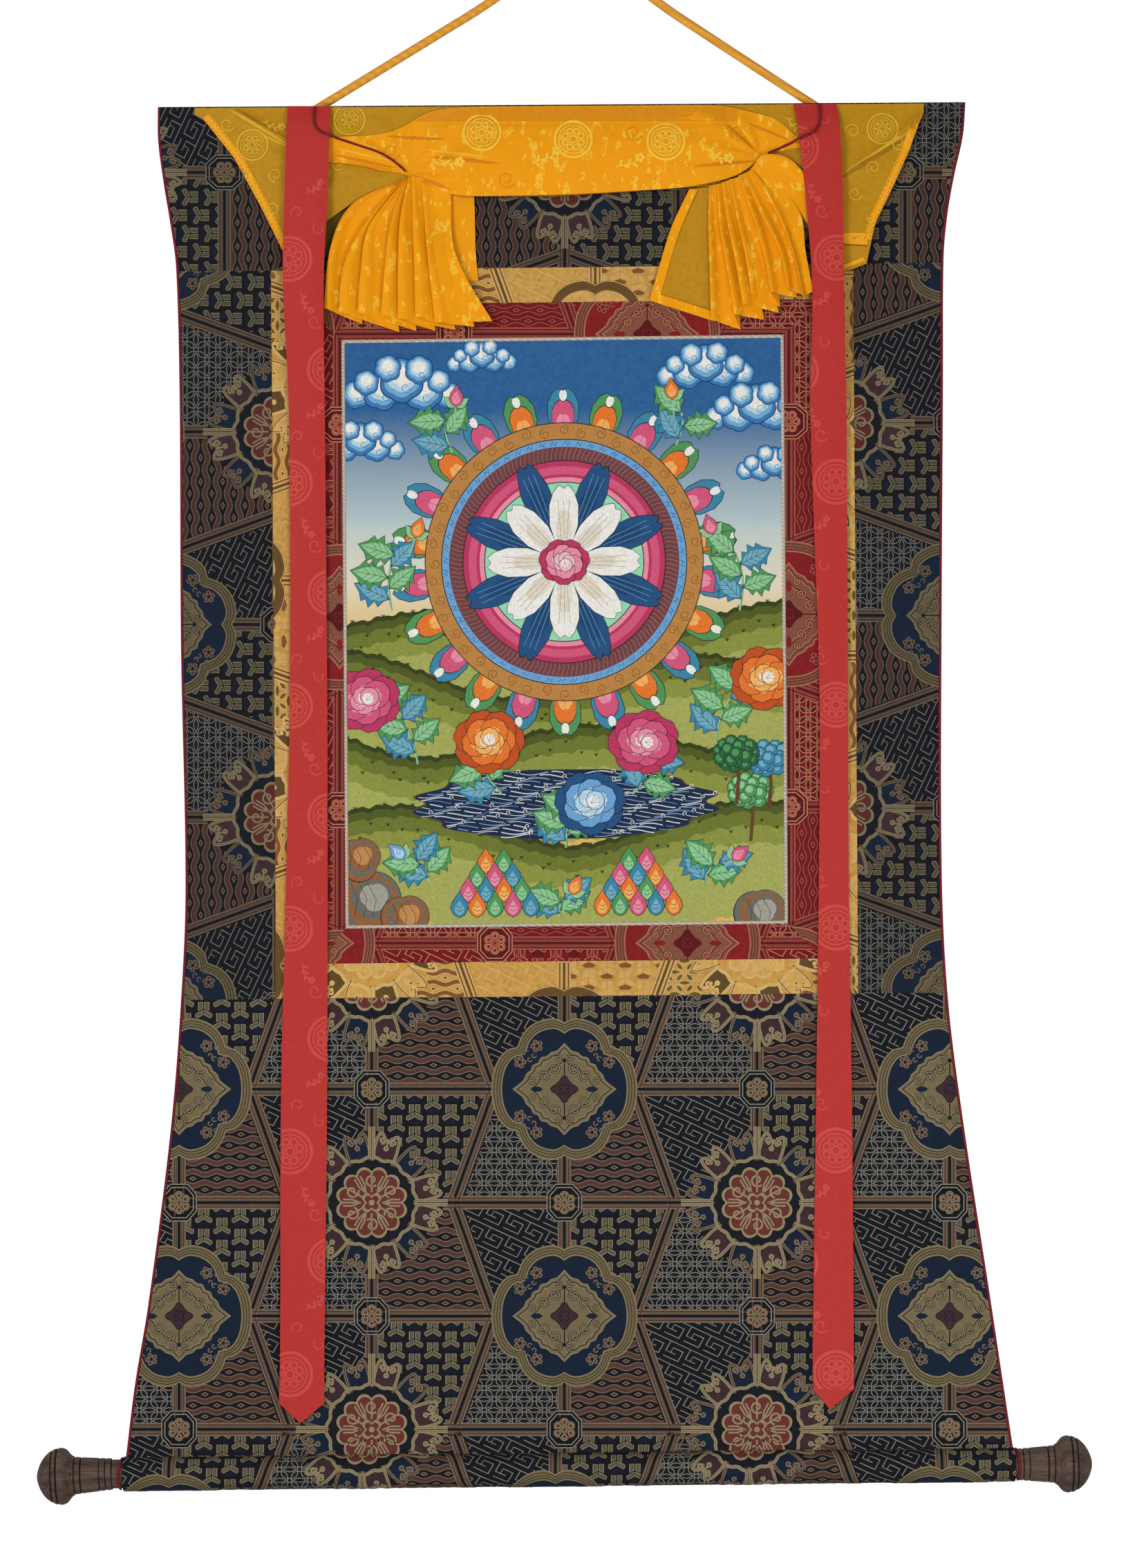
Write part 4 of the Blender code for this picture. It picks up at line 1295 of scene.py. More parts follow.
def strips(points, height):
    """A shape cut into rows no taller than height."""
    low = min(y for x, y in points)
    high = max(y for x, y in points)
    count = math.ceil((high - low) / height)
    rows = []
    for k in range(count):
        upper = blend(low, high, k / count)
        lower = blend(low, high, (k + 1) / count)
        part = cut(cut(points, lambda x, y: y - upper), lambda x, y: lower - y)
        if len(part) > 2:
            rows.append(part)
    return rows


def lay(name, design, spots, place, walls, box, palette, tallest=1000.0, widest=1000.0):
    """A design repeated at spots, cut by walls and raised a little on a cloth by place(x, y, layer)."""
    verts = []
    faces = []
    marks = []
    levels = []
    colours = list(palette)
    for spot in spots:
        for layer, colour, points in design.shapes:
            moved = [spot(*place_in) for place_in in points]
            first_x, first_y = moved[0]
            if first_x < box[0] or first_x > box[2] or first_y < box[1] or first_y > box[3]:
                continue
            for inside in walls:
                moved = cut(moved, inside)
                if len(moved) < 3:
                    break
            else:
                turn = sum(a[0] * b[1] - b[0] * a[1] for a, b in zip(moved, moved[1:] + moved[:1]))
                if turn > 0:
                    moved = moved[::-1]
                rows = strips(moved, tallest)
                turned = [[(y, x) for x, y in row] for row in rows]
                for part in [part for row in turned for part in strips(row, widest)]:
                    start = len(verts)
                    verts.extend(place(x, y, layer) for y, x in part)
                    faces.append(tuple(range(start, len(verts))))
                    marks.append(colours.index(colour))
                    levels.append(layer)
    thing = new_object(name, verts, faces, palette[colours[0]], smooth=False)
    mesh = thing.data
    for colour in colours[1:]:
        mesh.materials.append(palette[colour])
    mesh.polygons.foreach_set("material_index", marks)
    low_x = min(v.x for v in verts)
    low_z = min(v.z for v in verts)
    size = max(max(v.x for v in verts) - low_x, max(v.z for v in verts) - low_z)
    layer = mesh.uv_layers.new(name="OFBake")
    tiles = math.ceil(math.sqrt(max(levels) + 1))
    flat = []
    for face, level in zip(faces, levels):
        for k in face:
            u = (verts[k].x - low_x) / size
            v = (verts[k].z - low_z) / size
            flat.extend(((level % tiles + 0.98 * u) / tiles, (level // tiles + 0.98 * v) / tiles))
    layer.data.foreach_set("uv", flat)
    return thing


def on_cloth(thickness):
    """Places a design's shapes on the hung cloth."""

    def place(x, y, layer):
        return point(x, relief(x, y) + thickness + LAYER * (1 + layer), y)

    return place


# Cloths of the scroll


def painting_sheet(material):
    """The painted cloth."""

    def spot(across, down):
        level = blend(PAINTING_TOP, PAINTING_BOTTOM, down)
        return hung(lean(level) + blend(-PAINTING_HALF, PAINTING_HALF, across), level)

    return sheet("painted_cloth", 36, 48, spot, SHEET, material)


def strip_sheet(name, side, inset, width, thickness, material):
    """One mitred strip of a frame that starts inset millimetres outside the painting."""
    inner_half = PAINTING_HALF + inset + MITRE
    outer_half = PAINTING_HALF + inset + width - MITRE
    inner_top = PAINTING_TOP - inset - MITRE
    outer_top = PAINTING_TOP - inset - width + MITRE
    inner_bottom = PAINTING_BOTTOM + inset + MITRE
    outer_bottom = PAINTING_BOTTOM + inset + width - MITRE
    flat_ways = side in ("top", "bottom")

    def spot(across, down):
        if flat_ways:
            half = blend(outer_half, inner_half, down) - MITRE
            outer, inner = (outer_top, inner_top) if side == "top" else (outer_bottom, inner_bottom)
            level = blend(outer, inner, down)
            return hung(lean(level) + blend(-half, half, across), level)
        half = blend(outer_half, inner_half, across)
        top = blend(outer_top, inner_top, across) + MITRE
        bottom = blend(outer_bottom, inner_bottom, across) - MITRE
        level = blend(top, bottom, down)
        return hung(lean(level) + (-half if side == "left" else half), level)

    columns, rows = (44, 3) if flat_ways else (3, 52)
    cloth = sheet(name, columns, rows, spot, thickness, material)
    length = 2 * outer_half if flat_ways else outer_bottom - outer_top
    return cloth, length


def strip_walls(side, inset, width):
    """The edges of a mitred strip, as walls for its pattern."""
    inner = (PAINTING_HALF + inset, PAINTING_TOP - inset, PAINTING_BOTTOM + inset)
    outer = (PAINTING_HALF + inset + width, PAINTING_TOP - inset - width, PAINTING_BOTTOM + inset + width)

    def corner(frame, sign, lower):
        level = frame[2] if lower else frame[1]
        x = lean(level) + sign * frame[0]
        return x, hung_drop(x, level)

    ends = {
        "top": ((outer, -1, False), (outer, 1, False), (inner, 1, False), (inner, -1, False)),
        "bottom": ((inner, -1, True), (inner, 1, True), (outer, 1, True), (outer, -1, True)),
        "left": ((outer, -1, False), (inner, -1, False), (inner, -1, True), (outer, -1, True)),
        "right": ((inner, 1, False), (outer, 1, False), (outer, 1, True), (inner, 1, True)),
    }
    corners = [corner(*end) for end in ends[side]]
    return fence(corners), around_box(corners)


def upright(x, drop):
    """The pattern's own way up, with its flower at a place."""
    return lambda u, v: (x + u, drop + v)


def sideways(x, drop):
    """The pattern turned a quarter, with its flower at a place."""
    return lambda u, v: (x - v, drop + u)


def tiles(turn, x, drop, box):
    """The pattern's repeats over a box."""
    step_x, step_y = (2 * HALF_REPEAT_X, 2 * HALF_REPEAT_Y)
    if turn is sideways:
        step_x, step_y = step_y, step_x
    spots = []
    for row in range(-9, 10):
        for column in range(-9, 10):
            here_x = x + column * step_x
            here_drop = drop + row * step_y
            near_x = box[0] - REPEAT_MARGIN < here_x < box[2] + REPEAT_MARGIN
            near_drop = box[1] - REPEAT_MARGIN < here_drop < box[3] + REPEAT_MARGIN
            if near_x and near_drop:
                spots.append(turn(here_x, here_drop))
    return spots


def frames(materials, cell, palettes):
    """The red and the gold border, four mitred strips each, with their woven pattern."""
    for tint, inset in (("red", CORDED_EDGE), ("gold", CORDED_EDGE + BORDER_WIDTH)):
        for side in ("top", "left", "right", "bottom"):
            name = f"{tint}_strip_{side}"
            cloth, length = strip_sheet(name, side, inset, BORDER_WIDTH, SHEET, materials[tint])
            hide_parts(f"{tint}_border_{side}")
            walls, box = strip_walls(side, inset, BORDER_WIDTH - GAP)
            turn = upright if side in ("top", "bottom") else sideways
            x, drop = BORDER_FLOWERS[tint, side]
            weave = lay(f"{name}_weave", cell, tiles(turn, x, drop, box), on_cloth(SHEET), walls, box,
                        palettes[tint])


def side_wall(side):
    """How far inside the scroll's left (-1) or right (1) edge a place lies."""
    return lambda x, y: (side_x(side, level_at(x, y)) - x) * side - SIDE_CORD


def level_wall(level, below):
    """How far a place lies below a level, or above it."""
    way = 1.0 if below else -1.0
    return lambda x, y: (level_at(x, y) - level) * way


def seam_wall(side):
    """How far outside the gold border's left (-1) or right (1) seam a place lies."""
    half = PAINTING_HALF + CORDED_EDGE + 2 * BORDER_WIDTH + MITRE
    return lambda x, y: (x - lean(level_at(x, y))) * side - half


def panels(material, cell, palette, crossways_shaded_palette):
    """The four dark brocade panels; the lowest ends in the sleeve round the rod."""
    reach = CORDED_EDGE + 2 * BORDER_WIDTH
    seam_top = PAINTING_TOP - reach
    seam_bottom = PAINTING_BOTTOM + reach
    half = PAINTING_HALF + reach + MITRE

    def full_width(top, bottom):
        def spot(across, down):
            level = blend(top, bottom, down)
            return hung(blend(side_x(-1, level) + RIM, side_x(1, level) - RIM, across), level)

        return spot

    def one_side(sign):
        def spot(across, down):
            level = blend(seam_top + MITRE, seam_bottom - MITRE, down)
            edges = sorted((side_x(sign, level) - sign * RIM, lean(level) + sign * half))
            return hung(blend(*edges, across), level)

        return spot

    heading_rows = 14
    heading_end = HEADING_HEIGHT / (seam_top - SCROLL_TOP)

    def doubled(across, down):
        return HEADING_THICKNESS if down <= heading_end else SHEET

    tall = seam_bottom - seam_top
    plans = (
        ("top", full_width(SCROLL_TOP, seam_top - MITRE), (64, heading_rows), doubled,
         (TOP_PANEL_WIDTH, seam_top - SCROLL_TOP + HEADING_HEIGHT), (HEADING_FLOWER, sideways),
         [side_wall(-1), side_wall(1), level_wall(SCROLL_TOP + 0.3, True),
          level_wall(seam_top - MITRE, False)]),
        ("left", one_side(-1), (9, 60), SHEET, (LEFT_PANEL_WIDTH, tall), (LEFT_FLOWER, sideways),
         [side_wall(-1), seam_wall(-1), level_wall(seam_top + MITRE, True),
          level_wall(seam_bottom - MITRE, False)]),
        ("right", one_side(1), (9, 60), SHEET, (RIGHT_PANEL_WIDTH, tall), (RIGHT_FLOWER, sideways),
         [side_wall(1), seam_wall(1), level_wall(seam_top + MITRE, True),
          level_wall(seam_bottom - MITRE, False)]),
        ("bottom", full_width(seam_bottom + MITRE, SLEEVE_SEAM), (70, 38), SHEET,
         (BOTTOM_PANEL_WIDTH, SLEEVE_SEAM - seam_bottom), (BOTTOM_FLOWER, upright),
         [side_wall(-1), side_wall(1), level_wall(seam_bottom + MITRE, True),
          level_wall(SLEEVE_SEAM - 0.5, False)]),
    )
    for side, spot, (columns, rows), thickness, size, (flower, turn), walls in plans:
        cloth = sheet(f"dark_cloth_{side}", columns, rows, spot, thickness, material)
        places = [spot(across, down) for across in (0.0, 0.5, 1.0) for down in (0.0, 0.5, 1.0)]
        box = around_box([(x, drop) for x, depth, drop in places])
        front = on_heading if side == "top" else on_cloth(SHEET)
        silks = palette if turn is upright else crossways_shaded_palette
        weave = lay(f"dark_cloth_{side}_weave", cell, tiles(turn, *flower, box), front, walls, box, silks)
        pieces = [weave]
        if side == "bottom":
            pieces += sleeve(material, cell, palette)
            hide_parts("bottom_panel")
            size = (size[0], size[1] + math.tau * SLEEVE_RADIUS)
        else:
            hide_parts(f"{side}_panel")


def on_heading(x, y, layer):
    """Places a design's shapes on the top panel, thicker where it is folded double."""
    doubled = 1.0 - ease((level_at(x, y) - SCROLL_TOP - HEADING_HEIGHT) / HEADING_FADE)
    return point(x, relief(x, y) + blend(SHEET, HEADING_THICKNESS, doubled) + LAYER * (1 + layer), y)


def sleeve_place(x, angle, radius):
    """A place round the rod at an angle from its top, towards the front."""
    return point(x, SLEEVE_DEPTH + radius * math.sin(angle),
                 ROD_DROP - ROD_RISE * x - radius * math.cos(angle))


def sleeve(material, cell, palette):
    """The bottom panel's cloth carried round the rod, with the seam that closes it."""
    columns = 96
    sides = 40
    verts = []
    for i in range(columns + 1):
        x = blend(SLEEVE_LEFT, SLEEVE_RIGHT, i / columns)
        for radius in (SLEEVE_RADIUS, SLEEVE_RADIUS - SHEET):
            for k in range(sides):
                angle = math.tau * k / sides
                pucker = SLEEVE_PUCKER * math.sin(x / SLEEVE_PUCKER_WIDTH + 2.0 * math.sin(x / 31.0))
                pucker *= max(math.cos(angle), 0.0) ** 3
                soft = SLEEVE_PUCKER * math.sin(x / 47.0 + 1.0) * math.sin(angle)
                verts.append(sleeve_place(x, angle, radius - max(0.0, pucker + soft)))
    faces = []
    ring = 2 * sides
    for i in range(columns):
        for k in range(sides):
            m = (k + 1) % sides
            a = i * ring
            b = a + ring
            faces.append((a + k, a + m, b + m, b + k))
            faces.append((a + sides + k, b + sides + k, b + sides + m, a + sides + m))
    for a, flip in ((0, False), (columns * ring, True)):
        for k in range(sides):
            m = (k + 1) % sides
            face = (a + k, a + sides + k, a + sides + m, a + m)
            faces.append(face[::-1] if flip else face)
    tube = new_object("sleeve_cloth", verts, faces, material)
    reach = math.pi * SLEEVE_WRAP * SLEEVE_RADIUS
    walls = [
        lambda x, y: x - SLEEVE_LEFT - 0.3,
        lambda x, y: SLEEVE_RIGHT - 0.3 - x,
        lambda x, y: y - SLEEVE_SEAM - 0.4,
        lambda x, y: SLEEVE_SEAM + reach - y,
    ]
    box = around_box([(SLEEVE_LEFT, SLEEVE_SEAM), (SLEEVE_RIGHT, SLEEVE_SEAM + reach)])

    def place(x, y, layer):
        angle = (y - SLEEVE_SEAM) / SLEEVE_RADIUS + SLEEVE_SEAM_ANGLE
        return sleeve_place(x, angle, SLEEVE_RADIUS + LAYER * (1 + layer))

    x = BOTTOM_FLOWER[0] + SLEEVE_FLOWER_SHIFT[0]
    drop = BOTTOM_FLOWER[1] + SLEEVE_FLOWER_SHIFT[1]
    weave = lay("sleeve_cloth_weave", cell, tiles(upright, x, drop, box), place, walls, box, palette,
                SLEEVE_STRIP)
    return [tube, weave]


def rope_tube(name, places, radius, material, sides=8, closed=False):
    """A sewn-on cord along places given as x, depth, drop, a little flattened against the cloth."""
    verts = []
    count = len(places)
    for k, here in enumerate(places):
        before = places[k - 1] if closed or k > 0 else here
        after = places[(k + 1) % count] if closed or k < count - 1 else here
        along = (after[0] - before[0], after[2] - before[2])
        away = math.hypot(*along) or 1.0
        across = (-along[1] / away, along[0] / away)
        for side in range(sides):
            angle = math.tau * side / sides
            out = radius * math.cos(angle)
            verts.append(point(here[0] + across[0] * out, here[1] + radius * math.sin(angle),
                               here[2] + across[1] * out))
    faces = tube_faces(count, sides, loop=closed)
    if not closed:
        faces.append(tuple(range(sides)))
        faces.append(tuple(range((count - 1) * sides, count * sides))[::-1])
    return new_object(name, verts, faces, material)


def side_cords(material):
    """The thin crimson cord along each long edge."""
    for side, label in ((-1, "left"), (1, "right")):
        route = []
        for level in spread(SCROLL_TOP, ROD_DROP - SLEEVE_RADIUS - 0.6, 190):
            x = side_x(side, level) - side * SIDE_CORD / 2
            _, depth, drop = hung(x, level)
            route.append((x, depth + SIDE_CORD / 2, drop))
        cord = rope_tube(f"edge_cord_{label}", route, SIDE_CORD / 2, material)
        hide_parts(f"side_cord_{label}")


def mouth_cords(material):
    """The crimson cord's turn round the front of the sleeve's mouth at either end."""
    sides = 8
    steps = 30
    thin = SIDE_CORD / 2
    for side, label, mouth in ((-1, "left", SLEEVE_LEFT), (1, "right", SLEEVE_RIGHT)):
        verts = []
        for step in range(steps + 1):
            angle = math.pi * (0.92 * step / steps - 0.06)
            out = mouth + side * (thin + MOUTH_CORD_BULGE * math.sin(max(angle, 0.0)))
            for k in range(sides):
                turn = math.tau * k / sides
                radius = SLEEVE_RADIUS - thin + thin * math.sin(turn)
                verts.append(sleeve_place(out + thin * math.cos(turn), angle, radius))
        faces = [tuple(range(sides)), tuple(range(steps * sides, (steps + 1) * sides))[::-1]]
        faces += tube_faces(steps + 1, sides, turned=True)
        new_object(f"mouth_cord_{label}", verts, faces, material)


def corded_edge(material):
    """The pale twisted cord round the painted cloth."""
    half = PAINTING_HALF + CORDED_EDGE / 2
    top = PAINTING_TOP - CORDED_EDGE / 2
    bottom = PAINTING_BOTTOM + CORDED_EDGE / 2
    corners = ((-half, top), (half, top), (half, bottom), (-half, bottom))
    route = []
    for (x, level), (next_x, next_level) in zip(corners, corners[1:] + corners[:1]):
        steps = round(math.dist((x, level), (next_x, next_level)) / EDGE_CORD_STEP)
        for step in range(steps):
            place = blend(x, next_x, step / steps)
            at = blend(level, next_level, step / steps)
            place, depth, drop = hung(lean(at) + place, at)
            lift = EDGE_CORD_LIFT + EDGE_CORD_TWIST * math.sin(len(route) * 2.2)
            route.append((place, depth + lift, drop))
    radius = CORDED_EDGE / 2 + EDGE_CORD_TWIST
    cord = rope_tube("painting_cord", route, radius, material, sides=10, closed=True)
    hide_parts(*[f"corded_edge_{side}" for side in ("top", "left", "right", "bottom")])
    return cord


def knobs(material, groove_shade):
    """The two turned knobs, with grooves cut into neck and ball whose faces get a darker wood as painted
    shade.
    """
    sides = 56
    droop = math.radians(LEFT_KNOB_DROOP)
    tilt = math.atan(ROD_RISE)
    beside = [groove + shift for groove in KNOB_GROOVES for shift in (-0.9, -0.35, 0.35, 0.9)]
    end = KNOB_ROWS[-2][0]
    tip = KNOB_ROWS[-1][0]
    distances = sorted(set(spread(0.0, end, 86) + spread(end, tip, 3) + beside))
    for label, start, angle in (("left", KNOB_LEFT, math.pi + tilt + droop), ("right", KNOB_RIGHT, tilt)):
        verts = []
        for distance in distances:
            radius = read_rows(KNOB_ROWS, distance)[0]
            for groove in KNOB_GROOVES:
                radius -= GROOVE_DEPTH * max(0.0, 1.0 - (abs(distance - groove) / GROOVE_HALF) ** 2)
            for k in range(sides):
                turn = math.tau * k / sides
                across = radius * math.cos(turn)
                x = start + distance * math.cos(angle) + across * math.sin(angle)
                drop = ROD_DROP - ROD_RISE * start - distance * math.sin(angle) + across * math.cos(angle)
                verts.append(point(x, SLEEVE_DEPTH + radius * math.sin(turn), drop))
        faces = tube_faces(len(distances), sides, turned=True)
        faces.append(tuple(range(sides))[::-1])
        faces.append(tuple(range((len(distances) - 1) * sides, len(distances) * sides)))
        knob = new_object(f"turned_knob_{label}", verts, faces, material)
        knob.data.materials.append(groove_shade)
        for face in knob.data.polygons:
            middle = (distances[face.vertices[0] // sides] + distances[face.vertices[2] // sides]) / 2
            face.material_index = min(abs(middle - groove) for groove in KNOB_GROOVES) < GROOVE_SHADE_HALF
        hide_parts(f"knob_{label}")


# Cords


def smooth_route(route, step):
    """Places about a step apart on the smooth curve through a route's points."""
    rows = [(0.0, *route[0])]
    for here, there in zip(route, route[1:]):
        rows.append((rows[-1][0] + math.dist(here, there), *there))
    count = round(rows[-1][0] / step)
    return [read_rows(rows, rows[-1][0] * k / count) for k in range(count + 1)]


def curve_cord(name, places, diameter, material):
    """A round cord as one open curve."""
    curve = bpy.data.curves.new(name, "CURVE")
    curve.dimensions = "3D"
    curve.bevel_depth = diameter * MM / 2
    curve.bevel_resolution = 5
    curve.use_fill_caps = True
    curve.materials.append(material)
    spline = curve.splines.new("POLY")
    spline.points.add(len(places) - 1)
    for spline_point, place in zip(spline.points, places):
        spline_point.co = (*place, 1.0)
    spline.use_smooth = True
    thing = bpy.data.objects.new(name, curve)
    bpy.context.scene.collection.objects.link(thing)
    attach(thing, "root")
    length = sum((there - here).length for here, there in zip(places, places[1:]))
    return thing, length


def hanging_cord(material):
    """The folded silk cord, sewn behind the heading at both ends and led over the nail."""
    places = [point(x, depth, drop + CORD_LIFT * ease(1.0 - drop / CORD_LIFT_REACH)) for x, depth, drop in
              smooth_route(CORD_ROUTE, CORD_STEP / 4)]
    cord, length = curve_cord("folded_cord", places, CORD_DIAMETER, material)
    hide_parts("hanging_cord")


def creases(x, drop):
    """Depth of the folds that run out from the nearer tie."""
    tie_x, tie_drop = LEFT_TIE_SPOT if x < (LEFT_TIE_SPOT[0] + RIGHT_TIE_SPOT[0]) / 2 else RIGHT_TIE_SPOT
    away = math.hypot(x - tie_x, drop - tie_drop)
    angle = math.atan2(drop - tie_drop, x - tie_x)
    fold = 0.5 + 0.5 * math.sin(CREASE_COUNT * angle * 1.6)
    return CREASE * fold * ease(away / CREASE_REACH)


def veil_edge(x):
    """Drop of the veil's lower edge at x."""
    for here, there in zip(VEIL_EDGE_ROWS, VEIL_EDGE_ROWS[1:]):
        if x <= there[0]:
            return blend(here[1], there[1], (x - here[0]) / (there[0] - here[0]))
    return VEIL_EDGE_ROWS[-1][1]


def veil_top(x):
    """Drop of the veil's sewn upper edge at x."""
    return hung_drop(x, SCROLL_TOP) + VEIL_BELOW_TOP


def veil_back(x, drop):
    """Depth of the veil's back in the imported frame, above its lower edge."""
    fallen = drop - veil_top(x)
    share = ease(fallen / VEIL_CLEAR_FROM)
    sewn = HEADING_THICKNESS - SHEET + GAP
    clear = blend(sewn, VEIL_CLEAR, share) + creases(x, drop) * share
    swag = 0.0
    if LEFT_TIE_SPOT[0] < x < RIGHT_TIE_SPOT[0]:
        span = (x - LEFT_TIE_SPOT[0]) / (RIGHT_TIE_SPOT[0] - LEFT_TIE_SPOT[0])
        height = min(max(fallen, 0.0) / (veil_edge(x) - veil_top(x)), 1.0)
        swag = SWAG_BULGE * math.sin(math.pi * span) ** 0.5 * math.sin(math.pi * height**1.4 * 0.86)
        swag += SWAG_FOLD * math.sin(math.pi * span) * (1.0 - math.cos(math.tau * SWAG_FOLDS * height)) / 2
    return relief(x, drop) + SHEET + clear + swag


def ribbon_back(rows, drop):
    """Depth of a ribbon's back at a drop."""
    return read_rows(RIBBON_DEPTH_ROWS, drop - rows[0][0])[0]


def front_at(x, drop, rows, tie_spot):
    """Depth of the foremost face near a place: the veil's, or the ribbon's where it covers the veil."""
    away = math.dist((x, drop), tie_spot)
    foremost = 0.0
    for side in (-1, 0, 1):
        for height in (-1, 0, 1):
            near_x = x + side * TIE_HALO
            near_drop = drop + height * TIE_HALO
            foremost = max(foremost, veil_back(near_x, near_drop) + VEIL_THICKNESS)
            left, right = read_rows(rows, near_drop)
            if left - 0.5 <= near_x <= right + 0.5:
                foremost = max(foremost, ribbon_back(rows, near_drop) + RIBBON_THICKNESS)
    return foremost + GATHER_RISE * ease(2.0 - away / GATHER_REACH)


def ties(material):
    """The thin tie on each side, over its ribbon and the veil to the gathers."""
    for side, route, rows, tie_spot in (
        ("left", LEFT_TIE_ROUTE, LEFT_RIBBON_ROWS, LEFT_TIE_SPOT),
        ("right", RIGHT_TIE_ROUTE, RIGHT_RIBBON_ROWS, RIGHT_TIE_SPOT),
    ):
        places = [point(x, front_at(x, drop, rows, tie_spot) + TIE_DIAMETER / 2 + GAP, drop)
                  for x, drop in smooth_route(route, TIE_STEP / 2)]
        cord, length = curve_cord(f"tie_thread_{side}", places, TIE_DIAMETER, material)
        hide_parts(f"tie_{side}")


# The painting: a made-up flower wheel over hills and a pond


class Picture(Design):
    """Shapes painted one over another: each lies above all those that it may touch."""

    def __init__(self):
        super().__init__()
        self.heights = {}

    def add(self, drawn, colour):
        """A stroke of small shapes in one colour, all on one layer."""
        cells = set()
        for points in drawn:
            columns = [int(x // CELL) for x, y in points]
            rows = [int(y // CELL) for x, y in points]
            for column in range(min(columns), max(columns) + 1):
                for row in range(min(rows), max(rows) + 1):
                    cells.add((column, row))
        level = 1 + max(self.heights.get(cell, -1) for cell in cells)
        for cell in cells:
            self.heights[cell] = level
        self.shapes.extend((level, colour, points) for points in drawn)

    def fill(self, points, colour, layer=0):
        self.add([list(points)], colour)

    def line(self, points, width, colour, layer=0, closed=False):
        stroke = Design()
        stroke.line(points, width, colour, 0, closed)
        self.add([shape[2] for shape in stroke.shapes], colour)

    def round_fill(self, centre, radius_at, colour, layer=0, sides=24, rings=1):
        stroke = Design()
        stroke.round_fill(centre, radius_at, colour, 0, sides, rings)
        self.add([shape[2] for shape in stroke.shapes], colour)


def placed(points, root, angle, size, wide=1.0):
    """A drawn form's points (along, across) turned and sized about its root."""
    cos = math.cos(angle) * size
    sin = math.sin(angle) * size
    return [(root[0] + along * cos - across * wide * sin, root[1] + along * sin + across * wide * cos)
            for along, across in points]


def mirrored(half):
    """A closed outline from its half on one side of the middle line."""
    return half + [(along, -across) for along, across in reversed(half) if across > 0.0]


LEAF = mirrored([(0.0, 0.0), (0.12, 0.1), (0.2, 0.3), (0.34, 0.2), (0.42, 0.42), (0.56, 0.24),
                 (0.66, 0.34), (0.78, 0.16), (1.0, 0.0)])
LEAF_HEART = mirrored([(0.06, 0.0), (0.22, 0.14), (0.42, 0.2), (0.64, 0.15), (0.92, 0.0)])
PETAL = mirrored([(0.0, 0.0), (0.12, 0.16), (0.42, 0.3), (0.72, 0.31), (0.92, 0.22), (1.02, 0.1),
                  (0.97, 0.0)])
DROP = mirrored([(0.0, 0.0), (0.1, 0.2), (0.34, 0.33), (0.6, 0.27), (0.8, 0.12), (1.0, 0.0)])


def leaf(picture, root, angle, length, tones):
    """A lobed leaf with a paler heart and veins."""
    dark, light = tones
    outline = placed(LEAF, root, angle, length)
    picture.fill(outline, dark)
    picture.fill(placed(LEAF_HEART, root, angle, length), light)
    picture.line(outline, 0.4, "ink", closed=True)
    picture.line([root, polar(root, angle, length * 0.86)], 0.4, "ink")
    for side in (-1, 1):
        for along, reach in ((0.22, 0.3), (0.42, 0.34), (0.62, 0.26)):
            start = polar(root, angle, length * along * 0.8)
            picture.line([start, polar(start, angle + side * 0.75, length * reach)], 0.3, "ink")


def bloom(picture, centre, size, tones, turn=0.0):
    """A full flower: two rounds of lobed petals and a pale heart."""
    dark, middle, light, heart = tones
    for count, near, reach, half, colours in (
        (7, 0.42, 0.62, 0.46, (dark, middle)),
        (6, 0.3, 0.46, 0.36, (middle, light)),
        (5, 0.14, 0.3, 0.24, (light, heart)),
    ):
        for k in range(count):
            angle = turn + math.tau * (k + 0.35 * count) / count
            place = (centre[0] + math.cos(angle) * size * near,
                     centre[1] + math.sin(angle) * size * near * 0.8)
            edge = lobes(9, size * half * 0.8, size * half * 0.88, angle, 0.8)
            picture.round_fill(place, lambda a, edge=edge: edge(a) + 0.45, "ink", sides=27)
            picture.round_fill(place, edge, colours[0], sides=27)
            inner = polar(place, angle + math.pi, size * half * 0.22)
            picture.round_fill(inner, lambda a, edge=edge: edge(a) * 0.62, colours[1], sides=18)
            start = polar(place, angle + math.pi, size * half * 0.5)
            for fan in (-0.5, 0.0, 0.5):
                picture.line([start, polar(start, angle + fan, size * half * 0.9)], 0.3, dark)


def bud(picture, root, angle, size, tones):
    """A closed flower on a short stem with two sepals."""
    dark, middle, light, heart = tones
    picture.line([polar(root, angle + math.pi, size * 0.9), root], 1.3, "leaf_light")
    for side in (-1, 1):
        form = placed(DROP, root, angle + side * 0.95, size * 0.72)
        picture.fill(form, "leaf_light")
        picture.line(form, 0.35, "ink", closed=True)
    form = placed(DROP, root, angle, size)
    picture.fill(form, middle)
    picture.fill(placed(DROP, polar(root, angle, size * 0.1), angle, size * 0.62), light)
    picture.line(form, 0.4, "ink", closed=True)
    picture.line(spiral(polar(root, angle, size * 0.42), angle, 1.1, size * 0.15, steps=9), 0.35, dark)


